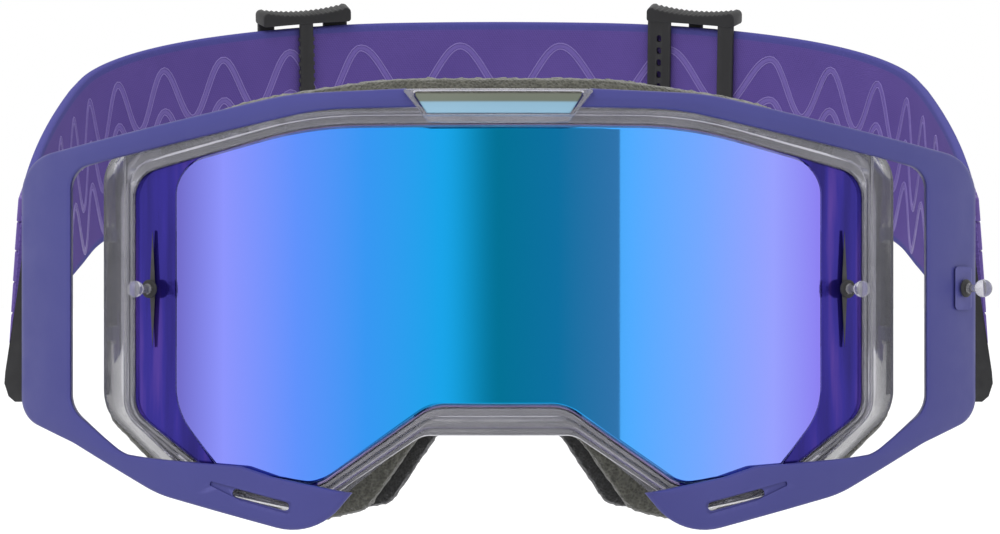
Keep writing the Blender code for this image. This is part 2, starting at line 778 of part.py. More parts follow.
def add_outrigger_post(pad_material, post_material):
    """The right outrigger has a raised pad with one more post for tear-offs."""
    x = OUTRIGGER_POST_X
    mesh = bmesh.new()
    rails = []
    for depth, inset in ((-TOUCH_GAP, 0.0), (-TOUCH_GAP - PAD_HEIGHT, 0.0005)):
        width = PAD_HALF_WIDTH - inset
        height = PAD_HALF_HEIGHT - inset
        corners = ((-width, -height), (width, -height), (width, height), (-width, height))
        rail = []
        for across, up in corners:
            place = (x + across, wrap_y(x + across) + OUTRIGGER_FRONT_DEPTH + depth, POST_Z + up)
            rail.append(mesh.verts.new(place))
        rails.append(rail)
    skin_rails(mesh, rails, closed_section=False, closed_path=True)
    for rail in rails:
        mesh.faces.new(rail)
    finish_object(mesh, "outrigger_pad", pad_material)
    mesh = lathe(post_profile(OUTRIGGER_POST_HEAD_RADIUS, OUTRIGGER_POST_STEM_HEIGHT))
    stand_on_wrap(mesh, 1, x, POST_Z, -TOUCH_GAP)
    pad_face = Vector((0.0, OUTRIGGER_FRONT_DEPTH - TOUCH_GAP - PAD_HEIGHT, 0.0))
    bmesh.ops.translate(mesh, vec=pad_face, verts=mesh.verts[:])
    finish_object(mesh, "outrigger_post", post_material)


# Strap, clips and sliders.

def strap_plan(travel):
    """Strap line in its tilted plane: x, reach and heading after a travel from the back's middle."""
    x = 0.0
    reach = STRAP_BACK_REACH
    heading = 0.0
    for radius, turn in STRAP_ARCS:
        after = heading + min(travel / radius, turn)
        x += radius * (math.sin(after) - math.sin(heading))
        reach -= radius * (math.cos(heading) - math.cos(after))
        travel = max(travel - radius * turn, 0.0)
        heading = after
        if travel == 0.0:
            break
    return x + travel * math.cos(heading), reach - travel * math.sin(heading), heading


def strap_point(side, travel, up, out):
    """A point on the strap: up across its width, out from its middle layer."""
    x, reach, heading = strap_plan(travel)
    fade = min(max((travel - STRAP_LEAN_START) / (STRAP_HALF_LENGTH - STRAP_LEAN_START), 0.0), 1.0)
    x += out * math.sin(heading) - up * STRAP_LEAN * fade
    reach += out * math.cos(heading)
    y = reach * math.cos(STRAP_TILT) - up * math.sin(STRAP_TILT)
    z = STRAP_BASE_Z + reach * math.sin(STRAP_TILT) + up * math.cos(STRAP_TILT)
    return (side * x, y, z)


def strap_block(side, travels, up_range, out_range):
    """A solid between two heights and two layers of the strap, along a list of travels."""
    mesh = bmesh.new()
    corners = (
        (up_range[0], out_range[0]),
        (up_range[1], out_range[0]),
        (up_range[1], out_range[1]),
        (up_range[0], out_range[1]),
    )
    rails = []
    for up, out in corners:
        rails.append([mesh.verts.new(strap_point(side, travel, up, out)) for travel in travels])
    skin_rails(mesh, rails, closed_section=True, closed_path=False)
    mesh.faces.new([rail[0] for rail in rails])
    mesh.faces.new([rail[-1] for rail in rails])
    return mesh


def even_steps(start, end, count):
    return [start + (end - start) * index / count for index in range(count + 1)]


def add_strap_band(material):
    """One band from clip to clip round the back of the head."""
    last = STRAP_HALF_LENGTH - STRAP_END_LENGTH - STRAP_JOINT_GAP
    travels = [0.0]
    start = 0.0
    for (radius, turn), steps in zip(STRAP_ARCS, STRAP_STEPS):
        end = min(start + radius * turn, last)
        travels += even_steps(start, end, steps)[1:]
        start += radius * turn
    mesh = bmesh.new()
    rails = []
    for up, out in ((-1, -1), (1, -1), (1, 1), (-1, 1)):
        height = up * STRAP_HALF_WIDTH
        layer = out * STRAP_HALF_THICKNESS
        left = [strap_point(-1, travel, height, layer) for travel in reversed(travels[1:])]
        right = [strap_point(1, travel, height, layer) for travel in travels]
        rails.append([mesh.verts.new(point) for point in left + right])
    skin_rails(mesh, rails, closed_section=True, closed_path=False)
    mesh.faces.new([rail[0] for rail in rails])
    mesh.faces.new([rail[-1] for rail in rails])
    finish_object(mesh, "strap_band", material)


def add_strap_end(side, strap_material, patch_material):
    """The sewn end of the strap on its clip, with raised rubber blocks outside."""
    start = STRAP_HALF_LENGTH - STRAP_END_LENGTH
    travels = even_steps(start, STRAP_HALF_LENGTH - STRAP_FRONT_INSET, 3)
    width = (-STRAP_HALF_WIDTH, STRAP_HALF_WIDTH)
    mesh = strap_block(side, travels, width, (-STRAP_HALF_THICKNESS, STRAP_HALF_THICKNESS))
    finish_object(mesh, "strap_end_" + side_name(side), strap_material)
    outside = STRAP_HALF_THICKNESS + TOUCH_GAP
    near_edge = []
    far_edge = []
    for index, (low, offset) in enumerate(PATCH_ROWS):
        high = PATCH_ROWS[index + 1][0] if index + 1 < len(PATCH_ROWS) else PATCH_TOP
        near_edge += [(start + offset, low), (start + offset, high)]
        far_edge += [(start + offset + PATCH_LENGTH, low), (start + offset + PATCH_LENGTH, high)]
    outline = near_edge + far_edge[::-1]
    mesh = bmesh.new()
    rails = []
    for out in (outside, outside + PATCH_THICKNESS):
        rails.append([mesh.verts.new(strap_point(side, travel, up, out)) for travel, up in outline])
    skin_rails(mesh, rails, closed_section=False, closed_path=True)
    for rail in rails:
        mesh.faces.new(rail)
    finish_object(mesh, "strap_patch_" + side_name(side), patch_material)


def clip_face_mesh():
    """The black face below and outside the outrigger, extruded along y."""
    mesh = bmesh.new()
    rails = []
    for y in (CLIP_FACE_FRONT_Y, CLIP_FACE_BACK_Y):
        rails.append([mesh.verts.new((x, y, z)) for x, z in CLIP_FACE])
    skin_rails(mesh, rails, closed_section=False, closed_path=True)
    for rail in rails:
        mesh.faces.new(rail)
    return mesh


def add_clip(side, material):
    """Barrel round the pin, outer face, and the plate that the strap is sewn to."""
    barrel = upright_prism(circle_points(HINGE_X, HINGE_Y, BARREL_RADIUS), BARREL_BOTTOM_Z, BARREL_TOP_Z)
    clip = finish_object(mirror_mesh(barrel, side), "clip_" + side_name(side), material)
    face = finish_object(mirror_mesh(clip_face_mesh(), side), "clip_face_tool", material)
    cut_or_join(clip, face, "UNION")
    neck_mesh = mirror_mesh(box_mesh(CLIP_NECK_LOW, CLIP_NECK_HIGH), side)
    cut_or_join(clip, finish_object(neck_mesh, "clip_neck_tool", material), "UNION")
    inside = -STRAP_HALF_THICKNESS - TOUCH_GAP
    layer = (inside - CLIP_PLATE_THICKNESS, inside)
    plate_end = STRAP_HALF_LENGTH - CLIP_PLATE_SETBACK
    travels = even_steps(plate_end - TOUCH_GAP, STRAP_HALF_LENGTH + CLIP_WEB_REACH, 2)
    web_layer = (layer[0] + 0.5 * TOUCH_GAP, layer[1] - 0.5 * TOUCH_GAP)
    mesh = strap_block(side, travels, CLIP_WEB_HEIGHTS, web_layer)
    cut_or_join(clip, finish_object(mesh, "clip_web_tool", material), "UNION")
    travels = even_steps(plate_end - CLIP_PLATE_LENGTH, plate_end, 2)
    mesh = strap_block(side, travels, (-CLIP_PLATE_HALF_WIDTH, CLIP_PLATE_HALF_WIDTH), layer)
    plate = finish_object(mesh, "clip_plate_tool", material)
    cut_or_join(clip, plate, "UNION")
    cut_or_join(clip, pin_tool(PIN_RADIUS + PIN_CLEARANCE, side, material), "DIFFERENCE")


def add_slider(side, centre_bar_inside, material):
    """Two rails joined by three bars, with the strap between the centre bar and the side bars."""
    start = SLIDER_TRAVEL - SLIDER_HALF_WIDTH
    end = SLIDER_TRAVEL + SLIDER_HALF_WIDTH
    across = even_steps(start, end, SLIDER_STEPS)
    rail_out = (-SLIDER_BAR_OUTER, SLIDER_BAR_OUTER)
    top = strap_block(side, across, (SLIDER_RAIL_START, SLIDER_HALF_HEIGHT), rail_out)
    slider = finish_object(top, "slider_" + side_name(side), material)
    bottom = strap_block(side, across, (-SLIDER_HALF_HEIGHT, -SLIDER_RAIL_START), rail_out)
    cut_or_join(slider, finish_object(bottom, "slider_tool", material), "UNION")
    centre_side = -1 if centre_bar_inside else 1
    bars = (
        (SLIDER_TRAVEL - SLIDER_CENTRE_BAR, SLIDER_TRAVEL + SLIDER_CENTRE_BAR, centre_side),
        (start + SLIDER_EDGE_INSET, start + SLIDER_WIDE_BAR, -centre_side),
        (end - SLIDER_SIDE_BAR, end - SLIDER_EDGE_INSET, -centre_side),
    )
    overlap = SLIDER_RAIL_START + 0.0010
    for low, high, layer in bars:
        out = sorted((layer * SLIDER_BAR_INNER, layer * (SLIDER_BAR_OUTER - SLIDER_EDGE_INSET)))
        mesh = strap_block(side, even_steps(low, high, 1), (-overlap, overlap), out)
        cut_or_join(slider, finish_object(mesh, "slider_tool", material), "UNION")


def build():
    clear_scene()
    clear_plastic = make_material("clear_plastic", (0.45, 0.45, 0.50), 0.12, transmission=0.8)
    frame_plastic = make_material("frame_plastic", (0.10, 0.09, 0.32), 0.45)
    mirror_lens = make_material("mirror_lens", (0.10, 0.35, 0.85), 0.05, metallic=1.0)
    black_plastic = make_material("black_plastic", (0.03, 0.03, 0.03), 0.5)
    rubber_seal = make_material("rubber_seal", (0.04, 0.04, 0.05), 0.8)
    foam_grey = make_material("foam_grey", (0.10, 0.10, 0.08), 0.95)
    foam_dark = make_material("foam_dark", (0.03, 0.03, 0.03), 0.95)
    fleece = make_material("fleece", (0.02, 0.02, 0.02), 1.0)
    badge_panel = make_material("badge_panel", (0.45, 0.60, 0.70), 0.2)
    webbing = make_material("webbing", (0.13, 0.08, 0.32), 0.85)
    rubber_blocks = make_material("rubber_blocks", (0.12, 0.07, 0.30), 0.6)
    steel = make_material("steel", (0.6, 0.6, 0.62), 0.3, metallic=1.0)
    add_inner_frame(clear_plastic)
    add_lens(mirror_lens, rubber_seal)
    add_face_foam(foam_grey, foam_dark, fleece)
    add_badge(clear_plastic, badge_panel)
    add_posts(clear_plastic, black_plastic)
    add_outrigger_post(frame_plastic, clear_plastic)
    add_strap_band(webbing)
    for side in (-1, 1):
        add_outrigger(side, frame_plastic)
        add_hinge_pin(side, steel)
        add_clip(side, black_plastic)
        add_strap_end(side, webbing, rubber_blocks)
        add_slider(side, side < 0, black_plastic)
        for top in (True, False):
            add_vent_foam(side, top, foam_dark)


build()
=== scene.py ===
"""Looks of the motorcycle goggles: fine meshes, materials, studio light and camera.

Metres, +Z up, the goggles look towards -Y. The outlines below follow the design's, so that the
fine pieces lie where the CAD solids lie.
"""

import math

import bmesh
import bpy
from mathutils import Matrix, Vector, noise


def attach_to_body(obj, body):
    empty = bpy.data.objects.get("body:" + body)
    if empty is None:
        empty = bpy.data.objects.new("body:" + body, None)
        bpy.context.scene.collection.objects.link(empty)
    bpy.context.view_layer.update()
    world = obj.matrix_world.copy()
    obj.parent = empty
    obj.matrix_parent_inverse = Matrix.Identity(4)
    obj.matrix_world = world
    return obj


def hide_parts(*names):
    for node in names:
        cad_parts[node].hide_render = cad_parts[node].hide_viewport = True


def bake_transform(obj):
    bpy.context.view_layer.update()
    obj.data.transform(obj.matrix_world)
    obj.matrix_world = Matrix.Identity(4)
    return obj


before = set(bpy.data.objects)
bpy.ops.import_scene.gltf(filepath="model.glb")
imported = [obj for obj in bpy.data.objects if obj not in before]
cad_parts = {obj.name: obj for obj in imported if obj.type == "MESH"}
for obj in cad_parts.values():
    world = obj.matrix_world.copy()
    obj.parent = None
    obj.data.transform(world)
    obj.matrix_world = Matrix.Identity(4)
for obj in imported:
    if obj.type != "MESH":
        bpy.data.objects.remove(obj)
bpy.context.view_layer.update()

# Wrap of the lens, seen from above, and the two surfaces behind it.
WRAP_RADIUS = 0.125
WRAP_CENTRE_Y = 0.073
FRAME_HALF_WIDTH = 0.084
FRAME_REAR_Y = -0.030
FRAME_REAR_SWEEP = 0.020
FACE_Y = -0.012
FACE_SWEEP = 0.027
LENS_ZONE_DEPTH = 0.005
REAR_DEPTH = 0.022
FACE_DEPTH = 0.040
GAP = 0.0003
ARC_STEPS = 10
FINE_STEP = 0.0025

# Half outlines, from the top middle round the right side to the bottom middle: x, z, radius.
LENS_OUTLINE = (
    (0.0, 0.0287, 0.0),
    (0.0380, 0.0286, 0.080),
    (0.0753, 0.0189, 0.006),
    (0.0753, -0.0300, 0.006),
    (0.0580, -0.0426, 0.008),
    (0.0365, -0.0446, 0.008),
    (0.0135, -0.0281, 0.009),
    (0.0, -0.0281, 0.0),
)
MAIN_FACE_OUTLINE = (
    (0.0, 0.0284, 0.0),
    (0.0380, 0.0283, 0.080),
    (0.0664, 0.0209, 0.008),
    (0.0664, -0.0295, 0.015),
    (0.0572, -0.0414, 0.004),
    (0.0367, -0.0441, 0.007),
    (0.0134, -0.0277, 0.009),
    (0.0, -0.0277, 0.0),
)
LIP_OUTLINE = (
    (0.0, 0.0343, 0.0),
    (0.0380, 0.0342, 0.080),
    (0.0778, 0.0260, 0.005),
    (0.0778, -0.0305, 0.007),
    (0.0600, -0.0455, 0.008),
    (0.0385, -0.0495, 0.008),
    (0.0152, -0.0338, 0.005),
    (0.0, -0.0338, 0.0),
)
FLANGE_OUTLINE = (
    (0.0, 0.0350, 0.0),
    (0.0380, 0.0349, 0.080),
    (0.0833, 0.0240, 0.008),
    (0.0833, -0.0300, 0.009),
    (0.0640, -0.0475, 0.009),
    (0.0380, -0.0523, 0.009),
    (0.0160, -0.0338, 0.006),
    (0.0, -0.0338, 0.0),
)
FOAM_OUTLINE = (
    (0.0, 0.0390, 0.0),
    (0.0240, 0.0389, 0.080),
    (0.0520, 0.0348, 0.060),
    (0.0834, 0.0245, 0.010),
    (0.0834, -0.0310, 0.010),
    (0.0650, -0.0490, 0.010),
    (0.0380, -0.0530, 0.006),
    (0.0218, -0.0503, 0.006),
    (0.0112, -0.0345, 0.005),
    (0.0, -0.0345, 0.0),
)
FOAM_BASE_NOSE = (
    (0.0380, -0.0530, 0.006),
    (0.0270, -0.0502, 0.005),
    (0.0160, -0.0345, 0.005),
    (0.0, -0.0345, 0.0),
)
FOAM_BASE_OUTLINE = FOAM_OUTLINE[:6] + FOAM_BASE_NOSE
FOAM_INNER_OUTLINE = (
    (0.0, 0.0285, 0.0),
    (0.0240, 0.0284, 0.080),
    (0.0500, 0.0252, 0.060),
    (0.0750, 0.0180, 0.008),
    (0.0750, -0.0270, 0.008),
    (0.0600, -0.0395, 0.008),
    (0.0420, -0.0425, 0.006),
    (0.0310, -0.0400, 0.005),
    (0.0170, -0.0262, 0.005),
    (0.0, -0.0262, 0.0),
)
OUTRIGGER_OUTER_EDGE = (
    (0.0185, 0.0357, 0.0),
    (0.0420, 0.0349, 0.060),
    (0.1018, 0.0225, 0.009),
    (0.1018, -0.0320, 0.006),
    (0.0890, -0.0368, 0.020),
    (0.0700, -0.0466, 0.025),
    (0.0369, -0.0545, 0.013),
    (0.0293, -0.0453, 0.0),
)
OUTRIGGER_INNER_EDGE = (
    (0.0120, 0.0320, 0.0),
    (0.0360, 0.0317, 0.060),
    (0.0896, 0.0203, 0.005),
    (0.0896, -0.0297, 0.006),
    (0.0770, -0.0390, 0.010),
    (0.0520, -0.0404, 0.006),
    (0.0455, -0.0424, 0.006),
    (0.0310, -0.0451, 0.0),
)
OUTRIGGER_FRONT_DEPTH = -0.0030
OUTRIGGER_BACK_DEPTH = -0.0008
OUTRIGGER_BAR_BACK_DEPTH = 0.0020
OUTRIGGER_BAR_START_X = 0.082
OUTRIGGER_BAR_FULL_X = 0.088
OUTRIGGER_EDGE_STEPS = 14
OUTRIGGER_ROUNDING = 0.0011
OUTRIGGER_CROWN = 0.0003

LIP_FRONT_DEPTH = -0.0003
LENS_FACE_DEPTH = -0.0001
LENS_BORDER_DEPTH = 0.0012
LENS_BACK_DEPTH = 0.0026
LENS_BEVEL = 0.0007
LENS_EDGE_ROUND = 0.0003
LENS_SLICE = 0.0020
SEAL_THICKNESS = 0.0006
SEAL_WIDTH = 0.0022
SHELF_THICKNESS = 0.0012
FRAME_WALL = 0.0020
FLANGE_THICKNESS = 0.0018
FLANGE_WIDTH = 0.0100
FOAM_BASE_THICKNESS = 0.0060
FOAM_MIDDLE_THICKNESS = 0.0082
FOAM_SIDE_STEP = 0.0010
FOAM_BULGE = 0.0006
FOAM_SLICE = 0.0015

# Two fine grooves in the frame's lip: share of the way out across the lip, and depth.
LIP_GROOVES = (
    (0.22, 0.0),
    (0.30, 0.0007),
    (0.38, 0.0003),
    (0.52, 0.0),
    (0.66, 0.0003),
    (0.72, 0.0006),
)
LIP_ROUND = 0.0007
LIP_INNER_ROUND = 0.0002
VENT_XS = (0.0480, 0.0560, 0.0640)
VENT_ZS = (0.0300, -0.0460)
VENT_DEPTHS = (0.0075, 0.0185)
VENT_HALF_WIDTH = 0.0031
VENT_HALF_LENGTH = 0.00325
VENT_ROUND = 0.001
VENT_REACH = 0.006

# The wing's slot, its recess (seen from the slot's middle) and the hinge lugs.
SLOT_X = 0.0480
SLOT_Z = -0.0470
SLOT_TILT = math.radians(13.5)
SLOT_HALF_LENGTH = 0.0060
SLOT_HALF_HEIGHT = 0.0009
SLOT_ROUND = 0.00085
RECESS_OUTLINE = (
    (-0.0040, -0.0012, 0.0006),
    (0.0064, -0.0013, 0.0008),
    (0.0064, 0.0012, 0.0008),
    (-0.0110, 0.0010, 0.0003),
    (-0.0110, 0.0001, 0.0003),
)
RECESS_FLOOR_DEPTH = -0.0029
HINGE_X = 0.0986
HINGE_Y = 0.0050
LUG_RADIUS = 0.0020
LUG_FOOT_Y = -0.0053
LUG_SHOULDER = (0.0994, -0.0023)
LUG_HEIGHT = 0.0030
LUG_LOWS = (0.0058, -0.0160)

BADGE_OUTLINE = (
    (0.0, 0.0355, 0.0),
    (0.0193, 0.0355, 0.0004),
    (0.0139, 0.0288, 0.0005),
    (0.0, 0.0288, 0.0),
)
BADGE_WINDOW_OUTLINE = (
    (0.0, 0.0347, 0.0),
    (0.0169, 0.0347, 0.0004),
    (0.0143, 0.0306, 0.0004),
    (0.0, 0.0306, 0.0),
)
BADGE_FRONT_DEPTH = -0.0046
BADGE_THICKNESS = 0.0013
BADGE_WINDOW_RECESS = 0.0003
BADGE_EDGE_ROUND = 0.00035

# Strap: arcs of (radius, turn) on a tilted plane, from the back's middle to the clip.
STRAP_TILT = math.radians(16.0)
STRAP_BASE_Z = -0.0032
STRAP_BACK_REACH = 0.1621
STRAP_HALF_WIDTH = 0.0215
STRAP_HALF_THICKNESS = 0.0010
STRAP_ARCS = (
    (0.3000, math.radians(4.8)),
    (0.0950, math.radians(30.5)),
    (0.0643, math.radians(48.2)),
    (0.6940, math.radians(7.5)),
)
STRAP_LEAN = 0.125
STRAP_LEAN_START = 0.140
STRAP_HALF_LENGTH = sum(radius * turn for radius, turn in STRAP_ARCS)
STRAP_FRONT_INSET = 0.0014
STRAP_SPLIT = 0.1450
STRAP_STEP = 0.0020
STRAP_ROUND = 0.0007
STRAP_END = STRAP_HALF_LENGTH - STRAP_FRONT_INSET
STRAP_PRINT_END = STRAP_END - 0.0160
STRAP_BLEND_START = 0.1720
STRAP_BLEND_END = STRAP_HALF_LENGTH - 0.0160

# Wave ridges printed on the inside of the strap.
WAVE_FIRST_PEAK = 0.0157
WAVE_TURNS = 2
WAVE_LEFT_SPAN = 0.0511
WAVE_RIGHT_SPAN = 0.0559
WAVE_SIDE_LENGTH = 0.0186
WAVE_HEIGHT = 0.0068
WAVE_MIDDLES = (0.0088, -0.0016, -0.0120)
WAVE_LINE_GAP = 0.0015
WAVE_LINE_WIDTH = 0.00034
WAVE_STEP = 0.0009

# Raised blocks on the strap ends: lower edge of each row, and its place along the strap.
PATCH_ROWS = (
    (-0.0195, 0.0020),
    (-0.0120, 0.0032),
    (-0.0045, 0.0046),
    (0.0030, 0.0062),
    (0.0100, 0.0080),
)
PATCH_TOP = 0.0160
PATCH_START = STRAP_HALF_LENGTH - 0.0220
PATCH_LENGTH = 0.0110
PATCH_COLUMNS = 3
PATCH_GROOVE = 0.00025
PATCH_ROW_GAP = 0.0003
PATCH_SKEW = 0.0006
PATCH_THICKNESS = 0.0009

SLIDER_TRAVEL = 0.0498
SLIDER_HALF_WIDTH = 0.0118
SLIDER_HALF_HEIGHT = 0.0265
SLIDER_RAIL_START = 0.0229
SLIDER_WIDE_BAR = 0.0064
SLIDER_SIDE_BAR = 0.0046
SLIDER_CENTRE_BAR = 0.0018
SLIDER_BAR_INNER = 0.0014
SLIDER_BAR_OUTER = 0.0028
SLIDER_TEETH = 16
SLIDER_TOOTH = 0.00035
SLIDER_DIP = 0.0011
SLIDER_HOLES = 13
SLIDER_HOLE_PITCH = 0.0031
SLIDER_GRIPS = 19
SLIDER_GRIP_PITCH = 0.0021

POST_X = 0.0713
POST_Z = -0.0045
POST_HEAD = 0.0017
POST_STEM = 0.0030
POST_FLANGE = 0.0019
POST_WAIST = 0.0008
RIB_FRONT_DEPTH = 0.0002
RIB_BACK_DEPTH = 0.0008
POST_FOOT_DEPTH = RIB_FRONT_DEPTH - GAP - 0.0006
RIB_HALF_LENGTH = 0.0120
RIB_HALF_WIDTH = 0.0006
OUTRIGGER_POST_X = 0.0985
OUTRIGGER_POST_HEAD = 0.0019
OUTRIGGER_POST_STEM = 0.0026
PAD_FRONT_DEPTH = OUTRIGGER_FRONT_DEPTH - GAP - 0.0007
PAD_HALF_WIDTH = 0.0021
PAD_HALF_HEIGHT = 0.0046
PAD_ROUND = 0.0009

# Studio: the dark card's edges are angles seen from the lens.
FLOOR_Z = -0.0750
CARD_DISTANCE = 1.60
CARD_HEIGHT = 3.0
CARD_LEFT = math.radians(12.0)
CARD_RIGHT = math.radians(24.35)
CARD_SHADE = 0.42
CARD_FADE_END = 0.02


# The bend and the strap: the same two maps that the design uses.

def wrap_y(x):
    return WRAP_CENTRE_Y - math.sqrt(WRAP_RADIUS ** 2 - x ** 2)


def depth_to_y(x, depth):
    """Follow the lens near the front, then the frame's rear, then the wearer's face."""
    front = wrap_y(x) + LENS_ZONE_DEPTH
    rear = FRAME_REAR_Y + FRAME_REAR_SWEEP * (x / FRAME_HALF_WIDTH) ** 2
    face = FACE_Y + FACE_SWEEP * (x / FRAME_HALF_WIDTH) ** 2
    if depth <= LENS_ZONE_DEPTH:
        return wrap_y(x) + depth
    if depth <= REAR_DEPTH:
        share = (depth - LENS_ZONE_DEPTH) / (REAR_DEPTH - LENS_ZONE_DEPTH)
        return front + share * (rear - front)
    share = (depth - REAR_DEPTH) / (FACE_DEPTH - REAR_DEPTH)
    return rear + share * (face - rear)


def bent(point):
    return Vector((point.x, depth_to_y(point.x, point.y), point.z))


def strap_plan(travel):
    x = 0.0
    reach = STRAP_BACK_REACH
    heading = 0.0
    for radius, turn in STRAP_ARCS:
        after = heading + min(travel / radius, turn)
        x += radius * (math.sin(after) - math.sin(heading))
        reach -= radius * (math.cos(heading) - math.cos(after))
        travel = max(travel - radius * turn, 0.0)
        heading = after
        if travel == 0.0:
            break
    return x + travel * math.cos(heading), reach - travel * math.sin(heading), heading


def strap_point(travel, out, up):
    """A point on the strap. Travel is negative on the left half."""
    side = -1.0 if travel < 0 else 1.0
    x, reach, heading = strap_plan(abs(travel))
    span = STRAP_HALF_LENGTH - STRAP_LEAN_START
    fade = min(max((abs(travel) - STRAP_LEAN_START) / span, 0.0), 1.0)
    x += out * math.sin(heading) - up * STRAP_LEAN * fade
    reach += out * math.cos(heading)
    y = reach * math.cos(STRAP_TILT) - up * math.sin(STRAP_TILT)
    z = STRAP_BASE_Z + reach * math.sin(STRAP_TILT) + up * math.cos(STRAP_TILT)
    return Vector((side * x, y, z))


# Outlines.

def round_corner(before, corner, after, radius, steps):
    towards = (before - corner).normalized()
    away = (after - corner).normalized()
    half = towards.angle(away) / 2
    centre = corner + (towards + away).normalized() * (radius / math.sin(half))
    first = corner + towards * (radius / math.tan(half)) - centre
    last = corner + away * (radius / math.tan(half)) - centre
    start = math.atan2(first.y, first.x)
    turn = math.atan2(last.y, last.x) - start
    turn = (turn + math.pi) % (2 * math.pi) - math.pi
    points = []
    for step in range(steps + 1):
        angle = start + turn * step / steps
        points.append(centre + Vector((math.cos(angle), math.sin(angle))) * radius)
    return points


def open_curve(corners, edge_steps=1, arc_steps=ARC_STEPS):
    flat = [Vector(corner[:2]) for corner in corners]
    points = [flat[0]]
    for index in range(1, len(flat)):
        arc = [flat[-1]]
        if index < len(flat) - 1:
            arc = round_corner(flat[index - 1], flat[index], flat[index + 1], corners[index][2], arc_steps)
        start = points[-1]
        for step in range(1, edge_steps):
            points.append(start.lerp(arc[0], step / edge_steps))
        points += arc
    return points


def closed_loop(outline, edge_steps=1, arc_steps=ARC_STEPS):
    right = open_curve(outline, edge_steps, arc_steps)
    left = [Vector((-point.x, point.y)) for point in reversed(right[1:-1])]
    return right + left


def rounded_polygon(corners, arc_steps=5):
    """A closed outline whose corners (a, b, radius) are all rounded."""
    flat = [Vector(corner[:2]) for corner in corners]
    points = []
    for index, corner in enumerate(corners):
        before = flat[index - 1]
        after = flat[(index + 1) % len(flat)]
        points += round_corner(before, flat[index], after, corner[2], arc_steps)
    return points


def rectangle(a, b, half_a, half_b):
    corners = ((-half_a, -half_b), (half_a, -half_b), (half_a, half_b), (-half_a, half_b))
    return [(a + da, b + db) for da, db in corners]


def rounded_rectangle(a, b, half_a, half_b, radius, arc_steps=5):
    return rounded_polygon([(*corner, radius) for corner in rectangle(a, b, half_a, half_b)], arc_steps)


def line_crossing(point_a, along_a, point_b, along_b):
    span = point_b - point_a
    share = (span.x * along_b.y - span.y * along_b.x) / (along_a.x * along_b.y - along_a.y * along_b.x)
    return point_a + along_a * share


def grow(outline, distance):
    """Move every edge of a half outline outwards, or inwards when distance is negative."""
    flat = [Vector(corner[:2]) for corner in outline]
    edges = []
    for start, end in zip(flat, flat[1:]):
        along = (end - start).normalized()
        outward = Vector((-along.y, along.x))
        edges.append((start + outward * distance, along))
    upright = Vector((0.0, 1.0))
    grown = [(*line_crossing(*edges[0], Vector((0.0, 0.0)), upright), 0.0)]
    for index in range(1, len(outline) - 1):
        before = edges[index - 1]
        after = edges[index]
        corner = line_crossing(*before, *after)
        turn = before[1].x * after[1].y - before[1].y * after[1].x
        radius = outline[index][2] + (distance if turn < 0 else -distance)
        grown.append((corner.x, corner.y, max(radius, 0.0004)))
    grown.append((*line_crossing(*edges[-1], Vector((0.0, 0.0)), upright), 0.0))
    return grown


def blend_outlines(first, second, share):
    """An outline between two that have the same number of corners."""
    mixed = []
    for corner_a, corner_b in zip(first, second):
        mixed.append(tuple(a + (b - a) * share for a, b in zip(corner_a, corner_b)))
    return mixed


# Mesh helpers.

def skin_rails(mesh, rails, closed_section, closed_path, slot=0):
    pairs = list(zip(rails, rails[1:]))
    if closed_section:
        pairs.append((rails[-1], rails[0]))
    for low, high in pairs:
        count = len(low) if closed_path else len(low) - 1
        for index in range(count):
            after = (index + 1) % len(low)
            face = mesh.faces.new((low[index], low[after], high[after], high[index]))
            face.material_index = slot


def slice_along_x(mesh, step):
    low = min(vert.co.x for vert in mesh.verts)
    high = max(vert.co.x for vert in mesh.verts)
    for index in range(math.ceil(low / step), int(high / step) + 1):
        everything = mesh.verts[:] + mesh.edges[:] + mesh.faces[:]
        plane = (index * step, 0.0, 0.0)
        bmesh.ops.bisect_plane(mesh, geom=everything, dist=0.0001, plane_co=plane, plane_no=(1, 0, 0))


def warp(mesh, rule):
    for vert in mesh.verts:
        vert.co = rule(vert.co)


def stand_up(mesh):
    """Turn a prism so that its outline lies flat and its length runs upwards."""
    warp(mesh, lambda point: Vector((point.x, point.z, point.y)))
    return mesh


def mirror_x(mesh, side):
    if side < 0:
        for vert in mesh.verts:
            vert.co.x = -vert.co.x
        bmesh.ops.reverse_faces(mesh, faces=mesh.faces[:])
    return mesh


def bend(mesh, step=FINE_STEP):
    slice_along_x(mesh, step)
    warp(mesh, bent)


def add_object(name, data):
    item = bpy.data.objects.new(name, data)
    bpy.context.scene.collection.objects.link(item)
    return item


def smooth(data, angle):
    data.shade_smooth()
    data.set_sharp_from_angle(angle=math.radians(angle))


def outward_faces(mesh):
    bmesh.ops.recalc_face_normals(mesh, faces=mesh.faces[:])


def make_piece(mesh, name, materials, smooth_angle=40.0):
    outward_faces(mesh)
    if mesh.calc_volume(signed=True) < 0.0:
        bmesh.ops.reverse_faces(mesh, faces=mesh.faces[:])
    data = bpy.data.meshes.new(name)
    mesh.to_mesh(data)
    mesh.free()
    smooth(data, smooth_angle)
    for material in materials:
        data.materials.append(material)
    return add_object(name, data)


def attach(piece, body, node):
    """The piece rides on a body, and its looks stand in for a CAD node."""
    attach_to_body(piece, body)
    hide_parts(node)


def loop_rails(mesh, sections, edge_steps=1, arc_steps=ARC_STEPS):
    """A rail of corners for each (outline, depth)."""
    rails = []
    for outline, depth in sections:
        loop = closed_loop(outline, edge_steps, arc_steps)
        rails.append([mesh.verts.new((point.x, depth, point.y)) for point in loop])
    return rails


def ring_mesh(sections, edge_steps=1, arc_steps=ARC_STEPS):
    mesh = bmesh.new()
    rails = loop_rails(mesh, sections, edge_steps, arc_steps)
    skin_rails(mesh, rails, closed_section=True, closed_path=True)
    return mesh


